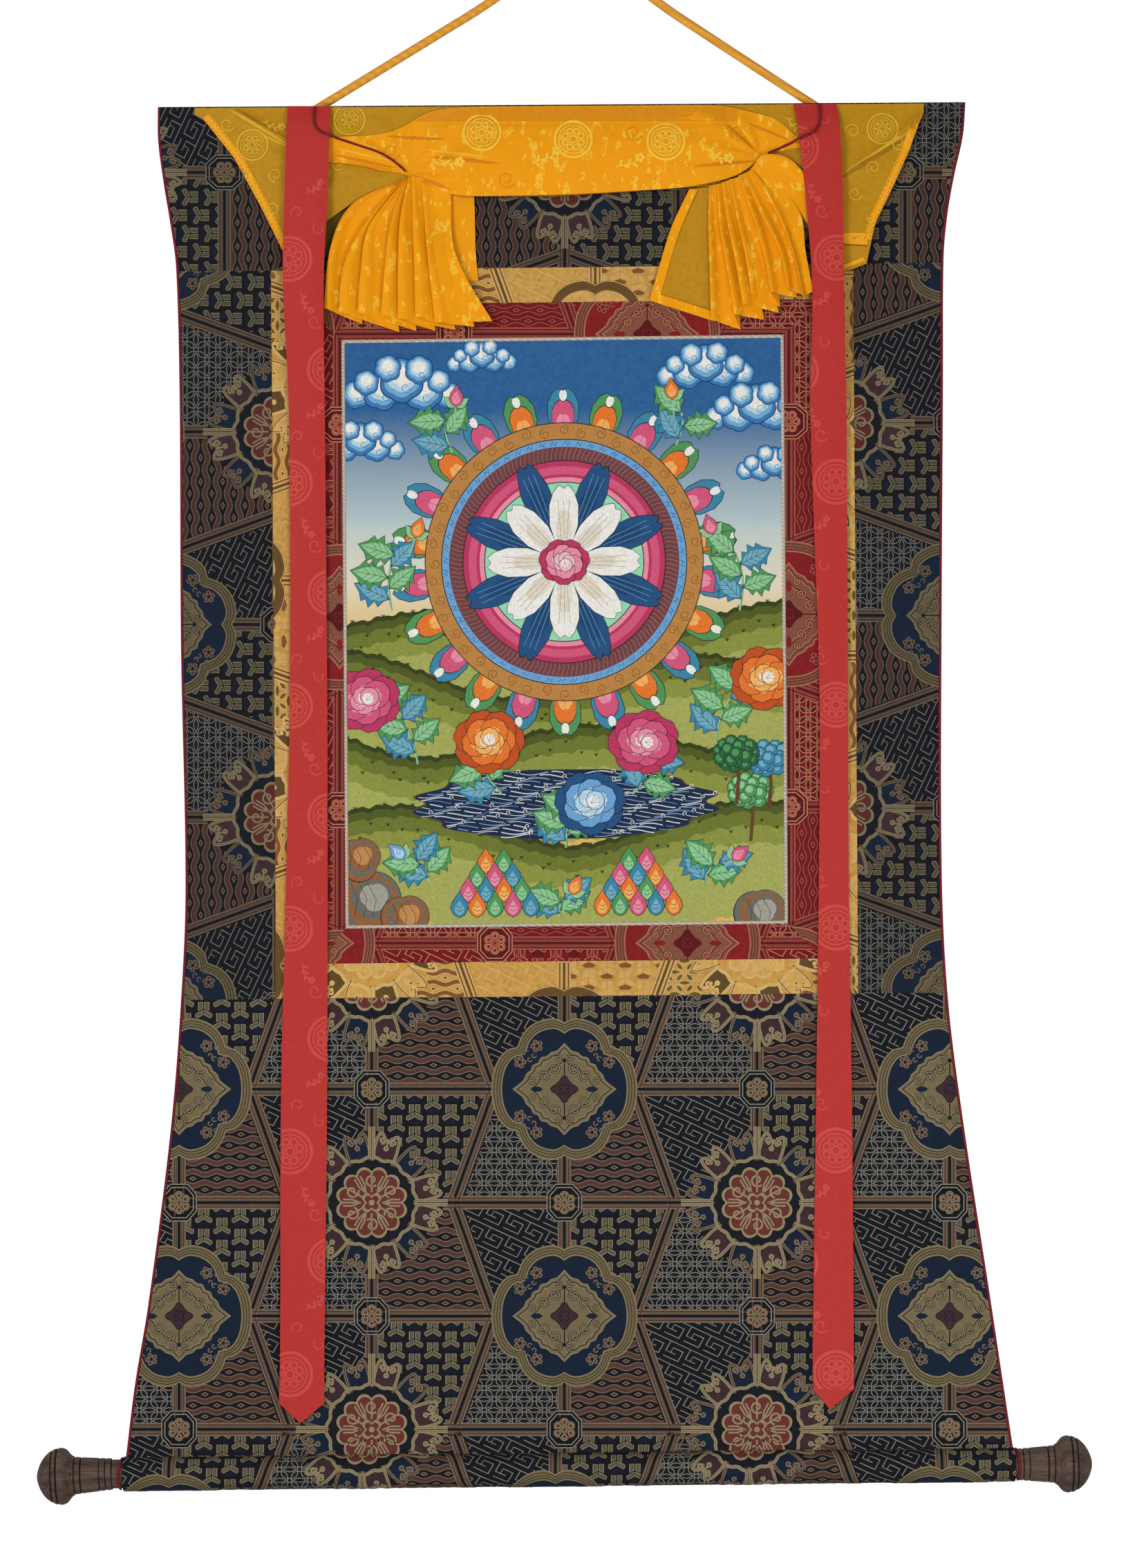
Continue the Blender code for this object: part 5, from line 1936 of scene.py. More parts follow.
def spray(picture, root, angle, reach, hand, leaves, crown, tones):
    """A stem with leaves by turns in two greens, ending in a flower or a bud."""
    stem = [polar(root, angle + hand * 0.5 * share * share, reach * share) for share in spread(0.0, 1.0, 7)]
    picture.line(stem, 2.0, "leaf_light")
    picture.line([(x + 0.7, y) for x, y in stem], 0.35, "ink")
    for k in range(leaves):
        place = stem[1 + (k * 6) // leaves]
        side = 1 if k % 2 else -1
        greens = ("teal", "teal_light") if k % 3 == 0 else ("leaf", "leaf_light")
        leaf(picture, place, angle + side * (0.95 + 0.12 * (k % 3)), 34.0 - 3.0 * (k % 2), greens)
    if crown == "bloom":
        bloom(picture, stem[-1], 38.0, tones, angle)
    else:
        bud(picture, stem[-1], angle + hand * 0.5, 19.0, tones)


def cloud(picture, centre, size, hand):
    """A bank of round puffs, each shaded from blue to white, with curls."""
    puffs = ((1.2, 0.5, 0.34), (-1.15, 0.42, 0.36), (0.55, 0.34, 0.5), (-0.5, 0.3, 0.5), (0.0, -0.05, 0.56),
             (0.95, 0.0, 0.3), (-0.9, 0.02, 0.32), (0.45, -0.42, 0.36), (-0.35, -0.48, 0.34))
    for across, down, share in puffs:
        place = (centre[0] + hand * across * size, centre[1] + down * size * 0.72)
        radius = share * size
        for grow, colour, shift in ((1.06, "ink_blue", 0.0), (1.0, "cloud_blue", 0.0),
                                    (0.84, "cloud_mid", 0.06), (0.66, "cloud_pale", 0.12),
                                    (0.46, "white", 0.18)):
            edge = lobes(6, radius * grow * 0.88, radius * grow, across + down, 0.7)
            picture.round_fill((place[0], place[1] - shift * radius), edge, colour, sides=30)
        curl = spiral((place[0] + 0.2 * radius, place[1] + 0.32 * radius), across, 0.9,
                      radius * 0.3, hand, 9)
        picture.line(curl, 0.5, "cloud_blue")


def lotus_petal(picture, root, angle, length, outer, inner, pale):
    """A petal with a rim, a white tip and a shaded heart."""
    form = placed(PETAL, root, angle, length)
    picture.fill(form, outer)
    picture.fill(placed(PETAL, polar(root, angle, length * 0.74), angle, length * 0.24), "white")
    picture.fill(placed(PETAL, polar(root, angle, length * 0.04), angle, length * 0.74), "ink")
    picture.fill(placed(PETAL, polar(root, angle, length * 0.05), angle, length * 0.71), inner)
    picture.fill(placed(PETAL, polar(root, angle, length * 0.06), angle, length * 0.44), pale)
    picture.line([root, polar(root, angle, length * 0.5)], 0.4, inner)
    picture.line(form, 0.55, "ink", closed=True)


def ring(picture, centre, inner, outer, colour, sides=72):
    """A flat ring."""
    shapes = []
    for k in range(sides):
        one = math.tau * k / sides
        two = math.tau * (k + 1) / sides
        shapes.append([polar(centre, one, inner), polar(centre, two, inner), polar(centre, two, outer),
                       polar(centre, one, outer)])
    picture.add(shapes, colour)


def wheel(picture):
    """The round middle of the picture."""
    centre = (0.0, 192.0)
    for k in range(22):
        angle = math.tau * (k + 0.5) / 22
        rim, heart, pale = (("teal", "pink", "pink_light"), ("leaf", "orange", "orange_light"))[k % 2]
        lotus_petal(picture, polar(centre, angle, 106.0), angle, 44.0, rim, heart, pale)
    ring(picture, centre, 106.0, 121.0, "ink")
    ring(picture, centre, 106.8, 120.3, "gold")
    for k in range(44):
        angle = math.tau * k / 44
        hand = 1 if k % 2 else -1
        curl = spiral(polar(centre, angle, 113.5 + 1.6 * hand), angle, 1.3, 5.0, hand, 11)
        picture.line(curl, 0.55, "gold_dark")
    ring(picture, centre, 99.0, 106.8, "ink")
    ring(picture, centre, 99.8, 106.0, "sky_rim")
    for k in range(60):
        angle = math.tau * k / 60
        route = [polar(centre, angle + 0.018 * step, 102.9 + (1.6 if step % 2 else -1.6))
                 for step in range(4)]
        picture.line(route, 0.5, "figure_blue")
    ring(picture, centre, 46.0, 99.8, "maroon", 90)
    for k in range(150):
        angle = math.tau * k / 150
        route = [polar(centre, angle + 0.016 * math.sin(step * 1.9), 47.0 + 52.0 * step / 7)
                 for step in range(8)]
        picture.line(route, 0.38, "ray")
    for inner, outer, colour in ((68.0, 88.0, "ink"), (68.6, 87.4, "rose"), (68.6, 83.0, "pink"),
                                 (68.6, 76.0, "rose"), (68.6, 73.4, "pink_light"), (68.2, 69.4, "ink")):
        ring(picture, centre, inner, outer, colour)
    picture.round_fill(centre, even(68.6), "mint", sides=72, rings=5)
    for k in range(8):
        angle = math.tau * (k + 0.5) / 8
        picture.fill(placed(PETAL, polar(centre, angle, 11.4), angle, 78.4, 0.53), "ink")
        picture.fill(placed(PETAL, polar(centre, angle, 12.0), angle, 77.0, 0.52), "figure_blue")
        picture.fill(placed(PETAL, polar(centre, angle, 14.0), angle, 58.0, 0.42), "deep_blue")
        for fan in (-0.09, 0.0, 0.09):
            vein = [polar(centre, angle + fan, 36.0), polar(centre, angle + fan * 0.7, 80.0)]
            picture.line(vein, 0.4, "sky_rim")
    for k in range(8):
        angle = math.tau * k / 8
        picture.fill(placed(PETAL, polar(centre, angle, 7.6), angle, 57.8, 0.72), "ink")
        picture.fill(placed(PETAL, polar(centre, angle, 8.0), angle, 57.0, 0.71), "white")
        picture.fill(placed(PETAL, polar(centre, angle, 8.0), angle, 36.0, 0.6), "cream")
        for fan in (-0.13, 0.0, 0.13):
            vein = [polar(centre, angle + fan, 20.0), polar(centre, angle + fan * 0.7, 54.0)]
            picture.line(vein, 0.35, "gold")
    bloom(picture, centre, 27.0, ("rose", "pink_light", "rose_pale", "white"), 0.3)


def hills(picture):
    """Green slopes in bands of tone, with tufts of grass."""
    for base, lift, phase, step in ((250.0, 12.0, 0.6, 15.0), (296.0, 16.0, 2.6, 15.0),
                                    (352.0, 18.0, 4.4, 17.0), (424.0, 14.0, 1.4, 18.0)):

        def skyline(x, base=base, lift=lift, phase=phase):
            return (base + lift * math.sin(x / 46.0 + phase) - lift * 0.9 * abs(x) / 189.0
                    + 1.0 * math.sin(x / 3.1) + 0.8 * math.sin(x / 1.7 + phase))

        for band, colour in enumerate(("grass_dark", "grass_deep", "grass", "grass_light", "grass_pale")):
            down = (0.0, 4.0, 11.0, 23.0, 38.0)[band]
            shapes = []
            for k in range(126):
                one = -189.0 + 3.0 * k
                two = one + 3.0
                far = down + (8.0, 12.0, 18.0, 22.0, 62.0)[band]
                shapes.append([(one, skyline(one) + down), (two, skyline(two) + down),
                               (two, skyline(two) + far), (one, skyline(one) + far)])
            picture.add(shapes, colour)
        for k in range(44):
            x = -186.0 + 8.6 * k + 3.0 * math.sin(k * 2.3 + phase)
            y = skyline(x) + 1.0 + (9.0 + step * abs(math.sin(k * 1.7))) * (k % 3 > 0)
            for fan in (-0.7, -0.2, 0.3, 0.8):
                picture.line([(x, y), (x + 2.4 * fan, y - 2.6)], 0.5, "grass_ink")


def pond(picture):
    """Dark water with pale lines, and the flowers that stand in it."""
    centre = (0.0, 402.0)

    def half(y):
        round_share = max(1.0 - ((y - centre[1]) / 31.0) ** 2, 0.0)
        return 128.0 * math.sqrt(round_share) * (1.0 + 0.06 * math.sin(y / 2.3))

    rows = spread(372.0, 432.0, 30)
    for grow, colour in ((1.6, "earth"), (0.0, "water")):
        shapes = []
        for one, two in zip(rows, rows[1:]):
            for k in range(24):
                left = blend(-1.0, 1.0, k / 24)
                right = blend(-1.0, 1.0, (k + 1) / 24)
                shapes.append([(left * (half(one) + grow), one), (right * (half(one) + grow), one),
                               (right * (half(two) + grow), two), (left * (half(two) + grow), two)])
        picture.add(shapes, colour)
    for row, y in enumerate(spread(375.0, 429.0, 20)):
        reach = half(y) - 3.0
        x = -reach
        k = 0
        while x < reach - 6.0:
            length = 16.0 + 9.0 * math.sin(k * 1.9 + row)
            route = []
            for step in range(6):
                along = min(x + length * step / 5, reach)
                route.append((along, y + 1.5 * math.sin(along / 6.5 + row * 1.1)))
            picture.line(route, 0.55 if (row + k) % 2 else 0.9, "foam" if (row + k) % 3 else "foam_blue")
            if (row + k) % 4 == 0:
                curl = spiral((route[-1][0] + 2.0, route[-1][1] - 1.0), 2.0, 1.0, 2.2, steps=8)
                picture.line(curl, 0.5, "white")
            x += length + 3.0
            k += 1


def treasures(picture):
    """Rocks, round trees and two heaps of drops in the foreground."""
    for x, y, size, tones in (
        (-172.0, 486.0, 30.0, ("rock_grey", "rock_pale")), (-140.0, 500.0, 22.0, ("rock", "rock_light")),
        (-180.0, 448.0, 20.0, ("rock", "rock_light")), (168.0, 500.0, 24.0, ("rock_grey", "rock_pale")),
    ):
        for grow, colour in ((1.0, "ink"), (0.97, tones[0]),
                             (0.8, "rock_grey" if tones[0] == "rock" else "rock"),
                             (0.62, tones[0]), (0.42, tones[1])):
            edge = lobes(3, size * grow * 0.84, size * grow, 0.4, 0.6)
            shift = size * (1.0 - grow) * 0.3
            picture.round_fill((x + shift, y - shift), edge, colour, sides=30)
        for k in range(3):
            picture.line([(x - size * 0.5 + k * 7.0, y - size * 0.6),
                          (x - size * 0.3 + k * 8.0, y - size * 0.1),
                          (x - size * 0.4 + k * 8.0, y + size * 0.4)], 0.4, "ink")
    for x, y, greens in ((160.0, 392.0, ("leaf", "leaf_light")), (176.0, 364.0, ("teal", "teal_light")),
                         (148.0, 360.0, ("leaf_dark", "leaf"))):
        picture.line([(x, y + 44.0), (x + 2.0, y + 22.0), (x, y)], 3.0, "earth")
        for k in range(19):
            radius = (15.0, 9.0, 0.0)[0 if k < 11 else 1 if k < 18 else 2]
            place = polar((x, y), 1.7 * k, radius)
            place = (place[0], y + (place[1] - y) * 0.72)
            picture.round_fill(place, lobes(7, 5.2, 6.2, k), "ink", sides=21)
            picture.round_fill(place, lobes(7, 4.7, 5.7, k), greens[0], sides=21)
            picture.round_fill((place[0] - 0.8, place[1] - 1.0), even(3.2), greens[1], sides=12)
    heap_tones = (("orange", "orange_light"), ("leaf", "leaf_light"), ("pink", "pink_light"),
                  ("teal", "teal_light"))
    for middle in (-62.0, 62.0):
        for row, count in enumerate((2, 3, 4, 5)):
            for k in range(count):
                root = (middle + (k - (count - 1) / 2) * 15.5, 462.0 + row * 12.5)
                dark, light = heap_tones[(k + row + (middle > 0)) % 4]
                form = placed(DROP, root, -math.pi / 2, 23.0)
                picture.fill(form, dark)
                picture.fill(placed(DROP, (root[0], root[1] - 2.0), -math.pi / 2, 13.0), light)
                picture.line(form, 0.5, "ink", closed=True)
                for arc in (0.3, 0.45):
                    top = (root[0], root[1] - 23.0 * arc)
                    arch = [(top[0] - 3.0, top[1]), (top[0], top[1] + 1.6), (top[0] + 3.0, top[1])]
                    picture.line(arch, 0.4, "ink")


def painting_design():
    """The whole picture, with x from its middle line and y from its upper edge."""
    picture = Picture()
    for place, size, hand in (((-140.0, 34.0), 34.0, 1), ((124.0, 22.0), 28.0, -1),
                              ((168.0, 58.0), 30.0, -1), ((-176.0, 84.0), 25.0, 1),
                              ((-70.0, 12.0), 20.0, -1), ((183.0, 108.0), 22.0, 1)):
        cloud(picture, place, size, hand)
    hills(picture)
    pond(picture)
    pinks = ("rose", "pink", "pink_light", "white")
    oranges = ("orange_dark", "orange", "orange_light", "white")
    blues = ("figure_blue", "sky_rim", "cloud_pale", "white")
    wheel(picture)
    for root, angle, reach, hand, leaves, crown, tones in (
        ((-128.0, 366.0), -1.75, 72.0, -1, 6, "bloom", pinks),
        ((130.0, 350.0), -1.4, 70.0, 1, 6, "bloom", oranges),
        ((-150.0, 232.0), -1.75, 66.0, 1, 5, "bud", oranges),
        ((152.0, 236.0), -1.4, 70.0, -1, 5, "bud", pinks),
        ((-96.0, 96.0), -2.0, 40.0, 1, 3, "bud", pinks),
        ((98.0, 92.0), -1.15, 40.0, -1, 3, "bud", oranges),
        ((-56.0, 392.0), -2.3, 46.0, 1, 4, "bloom", oranges),
        ((58.0, 394.0), -0.85, 46.0, -1, 4, "bloom", pinks),
        ((0.0, 440.0), -1.57, 44.0, 1, 5, "bloom", blues),
        ((-118.0, 468.0), -1.9, 30.0, -1, 4, "bud", blues),
        ((118.0, 474.0), -1.2, 34.0, 1, 4, "bud", pinks),
        ((-6.0, 500.0), -1.6, 22.0, 1, 4, "bud", oranges),
    ):
        spray(picture, root, angle, reach, hand, leaves, crown, tones)
    treasures(picture)
    return picture


def painting_ground():
    """The sheet's own colours: a mottled sky that pales downwards into cream and yellow."""
    shader = Shader("painted_sky")
    height = shader.node("ShaderNodeSeparateXYZ", {"Vector": shader.where}).outputs["Z"]
    depth = shader.math("SUBTRACT", -PAINTING_TOP * MM, height)
    cloudy = shader.mix(shader.noise(4.0, 4.0), screen(34, 84, 140), screen(58, 112, 164))
    tone = shader.mix(shader.ramp(depth, 0.06, 0.165), cloudy, screen(190, 208, 208))
    tone = shader.mix(shader.ramp(depth, 0.155, 0.215), tone, screen(232, 222, 196))
    tone = shader.mix(shader.ramp(depth, 0.21, 0.262), tone, screen(226, 186, 96))
    return shader.finish(tone, 0.8, shader.threads(0.9, "X"), 0.05)


def painted(name, colour):
    """Matt paint with a little mottling."""
    shader = Shader(name)
    mottle = shader.ramp(shader.noise(1.8, 5.0), 0.3, 0.7)
    tone = shader.mix(mottle, shaded(colour, 1.0 - MOTTLE), shaded(colour, 1.0 + MOTTLE))
    return shader.finish(tone, 0.85, shader.threads(0.9, "X"), 0.03)


def painting():
    """The picture laid on its cloth."""

    def onto(x, y):
        level = PAINTING_TOP + y
        across = lean(level) + x
        return across, hung_drop(across, level)

    def place(x, y, layer):
        return point(x, relief(x, y) + SHEET + PICTURE_LIFT + PAINT * layer, y)

    def side(hand):
        return lambda x, y: PAINTING_HALF - hand * (x - lean(level_at(x, y)))

    walls = [side(-1), side(1), level_wall(PAINTING_TOP, True), level_wall(PAINTING_BOTTOM, False)]
    palette = {key: painted(f"paint_{key}", screen(*value)) for key, value in PAINTING_COLOURS.items()}
    piece = lay("painted_picture", painting_design(), [onto], place, walls, WHOLE, palette,
                PICTURE_STRIP, PICTURE_STRIP)
    return piece


# The veil


def swag_front(x, drop):
    """Depth of the swag layer's back."""
    top, bottom = read_rows(SWAG_ROWS, x)
    down = min(max((drop - top) / (bottom - top), 0.0), 1.0)
    middle = ease((x - SWELL_LEFT) / SWELL_LEFT_REACH)
    middle *= ease((SWELL_RIGHT - x) / SWELL_RIGHT_REACH)
    roll = 0.12 + 0.88 * down
    risen = math.pi * 0.84 * max(roll - 0.14, 0.0) ** 1.15 / ROUND_SHARE**1.15
    full = SWAG_BULGE * middle * math.sin(risen)
    shelf = SHELF_RISE * middle * math.exp(-((down - SHELF_SHARE) / SHELF_WIDTH) ** 2)
    folds = 0.0
    for (tie_x, tie_drop), rays in ((LEFT_TIE_SPOT, LEFT_RAYS), (RIGHT_GATHER, RIGHT_RAYS)):
        away = math.hypot(x - tie_x, drop - tie_drop)
        angle = math.degrees(math.atan2(tie_drop - drop, x - tie_x)) % 360.0
        for ray, wide, high, reach in rays:
            turn = abs((angle - ray + 180.0) % 360.0 - 180.0)
            fold = high * math.exp(-((turn / wide) ** 2)) * ease(away / RAY_START)
            folds += fold * math.exp(-((away / reach) ** 2))
    crease = ROLL_CREASE * middle * math.exp(-(((drop - ROLL_DROP) / ROLL_CREASE_WIDTH) ** 2))
    own = relief(x, drop) + SHEET + SWAG_CLEAR + full + shelf + folds - crease
    return max(own, back_layer(x, drop) + 1.0 + folds * 0.8)


def back_layer(x, drop):
    """Depth of the single layer behind the swag and in the two wings."""
    behind = ease((x - BEHIND_LEFT) / BEHIND_LEFT_REACH)
    behind *= ease((BEHIND_RIGHT - x) / BEHIND_RIGHT_REACH)
    fallen = ease((drop - veil_top(x)) / VEIL_CLEAR_FROM)
    wing = blend(HEADING_THICKNESS - SHEET + GAP, VEIL_CLEAR, fallen) + creases(x, drop) * fallen
    wing += sum(ridge(x, drop, *row) for row in WING_RIDGES)
    return relief(x, drop) + SHEET + blend(wing, BEHIND_CLEAR, behind)


def ridge(x, drop, first, last, height):
    """Height of a soft straight fold from first to last."""
    along_x = last[0] - first[0]
    along_y = last[1] - first[1]
    away = math.hypot(along_x, along_y)
    share = ((x - first[0]) * along_x + (drop - first[1]) * along_y) / away**2
    off = ((x - first[0]) * along_y - (drop - first[1]) * along_x) / away
    return height * math.exp(-((off / RIDGE_WIDTH) ** 2)) * ease(6.0 * share) * ease(6.0 * (1.0 - share))


def fold_line(line, down):
    """A fold's place at a share of its length."""
    rows = [(k / 3.0, *place) for k, place in enumerate(line)]
    return read_rows(rows, down)


def pleated(name, folds, start, step_up, material, height=6.0, rows=26, steps=12):
    """Knife pleats: faces from each fold's rolled edge to its far edge, each lying on the one before."""
    count = len(folds) - 1

    def roll(share):
        return 0.9 * math.exp(-(((share - 0.09) / 0.17) ** 2)) + 0.1 * (1.0 - share)

    def spot(across, down):
        place = across * count
        index = min(int(place + 1e-6), count - 1)
        share = place - index
        here = fold_line(folds[index], down)
        there = fold_line(folds[index + 1], down)
        x = blend(here[0], there[0], share)
        drop = blend(here[1], there[1], share)
        level = index // 2 * step_up
        if index % 2 == 0:
            depth = level + height * roll(share)
        else:
            depth = blend(level, level + step_up + height * roll(0.0), share)
        rise = ease(down * 1.8)
        return x, relief(x, drop) + SHEET + start + depth * blend(0.3, 1.0, rise), drop

    return sheet(name, count * steps, rows, spot, PLEAT_LAYER, material)


def hem_line(first, last, inset):
    """A route along a wing's edge, inset from it."""
    edge = [(x, veil_edge(x)) for x in spread(first, last, 16)]
    route = []
    for here, there in zip(edge, edge[1:]):
        along = (there[0] - here[0], there[1] - here[1])
        side = inset / math.hypot(*along) * (1.0 if along[0] > 0.0 else -1.0)
        route.append(((here[0] + there[0]) / 2 + along[1] * side,
                      (here[1] + there[1]) / 2 - along[0] * side))
    return route


def streak(design, first, last, wide, colour, layer):
    """A long spindle from first to last."""
    away = math.dist(first, last)
    across = ((first[1] - last[1]) / away, (last[0] - first[0]) / away)
    sides = []
    for share in spread(0.0, 1.0, 12):
        half = wide * (0.04 + math.sin(math.pi * share) ** 0.7)
        x = blend(first[0], last[0], share)
        drop = blend(first[1], last[1], share)
        sides.append(((x + across[0] * half, drop + across[1] * half),
                      (x - across[0] * half, drop - across[1] * half)))
    for one, two in zip(sides, sides[1:]):
        design.fill((one[0], two[0], two[1], one[1]), colour, layer)


def veil(materials):
    """The silk veil: a back layer with two wings, the swag in front, and two pleated falls."""
    silk = materials["silk"]
    sheer = materials["sheer"]
    places = []
    for here, there in zip(VEIL_EDGE_ROWS, VEIL_EDGE_ROWS[1:]):
        parts = max(1, round((there[0] - here[0]) / 3.5))
        places.extend(blend(here[0], there[0], part / parts) for part in range(parts))
    places.append(VEIL_EDGE_ROWS[-1][0])

    def wings(across, down):
        x = places[round(across * (len(places) - 1))]
        drop = blend(veil_top(x), veil_edge(x), down)
        return x, back_layer(x, drop), drop

    back = sheet("veil_back_layer", len(places) - 1, 26, wings, VEIL_LAYER, sheer)
    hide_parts("veil")

    def front(across, down):
        x = blend(SWAG_ROWS[0][0], SWAG_ROWS[-1][0], across)
        top, bottom = read_rows(SWAG_ROWS, x)
        drop = blend(top, bottom, down)
        return x, swag_front(x, drop), drop

    swag = sheet("veil_swag", 150, 36, front, SWAG_LAYER, silk)
    left = pleated("veil_fall_left", LEFT_FOLDS, 2.6, 1.5, silk)
    left_back = pleated("veil_fall_left_back", LEFT_BACK_FOLDS, 1.6, 0.0, silk, 1.4, 16, 8)
    right = pleated("veil_fall_right", RIGHT_FOLDS, 2.6, 1.5, silk)
    # A piece whose dark colour is painted shade in the gap behind the left fall's fold
    shade = pleated("veil_fold_behind_left_painted_shade", SHADE_FOLDS, 1.2, 0.0, materials["shade"], 0.4, 10, 6)
    flap_hems = [
        pleated("veil_flap_side_hem", FLAP_SIDE_HEM, 3.6, 0.0, silk, 0.5, 16, 3),
        pleated("veil_flap_low_hem", FLAP_LOW_HEM, 3.7, 0.0, silk, 0.5, 16, 3),
    ]
    flap = pleated("veil_fall_right_sheer", SHEER_FOLDS, 2.0, 0.0, sheer, 0.9, 22, 12)
    puff = pleated("veil_puff_right", PUFF_FOLDS, 7.4, 0.0, silk, 5.0, 22, 14)

    def on_back(x, y, layer):
        return point(x, back_layer(x, y) + DAMASK_LIFT + LAYER * (1 + layer), y)

    def on_swag(x, y, layer):
        return point(x, swag_front(x, y) + DAMASK_LIFT + LAYER * (1 + layer), y)

    hems = Design()
    for first, last in HEM_SPANS:
        hems.line(hem_line(first, last, HEM_INSET), HEM_WIDTH, "hem", 1)
        for inset in STITCH_INSETS:
            stitches = refine(hem_line(first, last, inset), False, STITCH_LENGTH)
            for one, two in zip(stitches[::2], stitches[1::2]):
                hems.line((one, two), 0.45, "stitch", 3)
    hems.fill([(240.0, 246.5), (262.5, 246.5), (263.0, 257.0), (240.0, 255.5)], "hem", 2)
    # A darker line along the turned-up band's fold: painted shade in the crease
    hems.line([(240.0, 256.4), (263.0, 257.8)], 0.9, "fold", 3)
    hems.line([(241.0, 276.0), (260.0, 269.0)], 3.4, "hem", 2)
    back_hem = lay("veil_wing_hem", hems, [upright(0.0, 0.0)], on_back, [], WHOLE,
                   materials["veil_palette"])

    motifs = Design()
    # A darker band along the swag's top: painted shade where the rolled-over edge turns away from the light
    for x in range(-150, 150, 10):
        motifs.fill([(x, 130.0), (x + 10.0, 130.0), (x + 10.0, 149.6), (x, 149.6)], "roll", 0)
    for x, drop, turn in ((-71.0, 160.0, 0.2), (88.0, 168.0, -0.3), (8.0, 166.0, 0.0)):
        round_fret(motifs, (x, drop), 17.0, "shine", 1)
    for x, drop, angle in ((-26.0, 186.0, -0.5), (45.0, 190.0, -0.4), (-112.0, 183.0, 0.1),
                           (122.0, 175.0, 0.3)):
        sprig(motifs, (x, drop), angle, 22.0, "shine", 1)
    for x, drop in ((-50.0, 201.0), (60.0, 160.0), (-150.0, 176.0), (150.0, 160.0)):
        motifs.line(spiral((x, drop), 0.4, 1.3, 8.0), 1.1, "shade", 1)
    # Painted highlights and painted shade along the swag's finer folds
    for first, last, wide, colour in SWAG_STREAKS:
        streak(motifs, first, last, wide, colour, 0)
    swag_walls = [lambda x, y: y - read_rows(SWAG_ROWS, x)[0] - 1.0,
                  lambda x, y: read_rows(SWAG_ROWS, x)[1] - 1.5 - y]
    damask = lay("veil_swag_damask", motifs, [upright(0.0, 0.0)], on_swag, swag_walls, WHOLE,
                 materials["veil_palette"])
    wing_motifs = Design()
    for x, drop in ((-186.0, 148.0), (276.0, 156.0), (-270.0, 170.0)):
        round_fret(wing_motifs, (x, drop), 14.0, "wing_damask_and_highlight", 1)
    for x, drop, angle in ((262.0, 232.0, 1.0), (-262.0, 150.0, 0.2), (192.0, 146.0, 0.6)):
        sprig(wing_motifs, (x, drop), angle, 18.0, "wing_damask_and_highlight", 1)
    for x, drop, angle in ((-292.0, 152.0, 0.4), (-250.0, 196.0, 1.6), (-252.0, 226.0, 2.6),
                           (-196.0, 186.0, 0.8), (268.0, 190.0, 2.4), (290.0, 168.0, 1.2),
                           (252.0, 212.0, 0.2), (250.0, 158.0, 3.4)):
        wing_motifs.line(spiral((x, drop), angle, 1.2, 6.5), 1.2, "wing_damask_and_highlight", 1)
    # Painted highlight along each wing fold's crest, with painted shade on its flank
    for first, last, wide, colour in WING_STREAKS:
        streak(wing_motifs, first, last, wide, colour, 0)
    wing_walls = [lambda x, y: y - veil_top(x) - 1.0, lambda x, y: veil_edge(x) - 2.0 - y]
    wing_damask = lay("veil_wing_damask", wing_motifs, [upright(0.0, 0.0)], on_back, wing_walls, WHOLE,
                      materials["veil_palette"])


def round_fret(design, centre, size, colour, layer):
    """A round medallion of rings and petals, as damask often has."""
    design.round_line(centre, even(size * 0.94), size * 0.13, colour, layer, sides=28)
    design.round_line(centre, even(size * 0.74), size * 0.07, colour, layer, sides=24)
    for k in range(8):
        angle = math.tau * (k + 0.5) / 8
        petal = polar(centre, angle, size * 0.44)
        design.round_line(petal, even(size * 0.15), size * 0.08, colour, layer, sides=9)
        dot = polar(centre, angle + math.tau / 16, size * 0.62)
        design.round_fill(dot, even(size * 0.05), colour, layer, sides=6)
    design.round_line(centre, even(size * 0.19), size * 0.09, colour, layer, sides=12)


def sprig(design, root, angle, length, colour, layer):
    """A twig with leaves and a bloom, as damask often has."""
    stem = [polar(root, angle + 0.25 * math.sin(3.0 * share), length * share)
            for share in spread(0.0, 1.0, 6)]
    design.line(stem, 1.3, colour, layer)
    for k, place in enumerate(stem[1:-1]):
        twig = [place, polar(place, angle + (0.9 if k % 2 else -0.9), length * 0.24)]
        design.line(twig, 2.2, colour, layer)
    for k in range(5):
        petal = polar(stem[-1], math.tau * k / 5, length * 0.13)
        design.round_fill(petal, even(length * 0.085), colour, layer, sides=7)


# The ribbons


def ribbon_front(rows, x, drop):
    """Depth of a ribbon's back, with the wrinkles where its tie crosses it."""
    left, right = read_rows(rows, drop)
    share = (x - left) / (right - left)
    tie = math.exp(-(((drop - TIE_WRINKLE_DROP) / TIE_WRINKLE_REACH) ** 2))
    wrinkle = 0.7 * tie * math.sin(0.42 * (drop - 150.0) + 3.4 * share) * math.sin(2.4 * share + 0.6)
    cup = 0.8 * math.sin(math.pi * share) + 0.35 * math.sin(math.pi * share * 2.0 + drop / 90.0)
    sway = 0.35 * math.sin(drop / 61.0 + rows[0][1]) + 0.25 * math.sin(drop / 23.0)
    settled = ease((drop - rows[0][0]) / 14.0)
    return ribbon_back(rows, drop) + (wrinkle + cup * 0.6 + sway) * settled


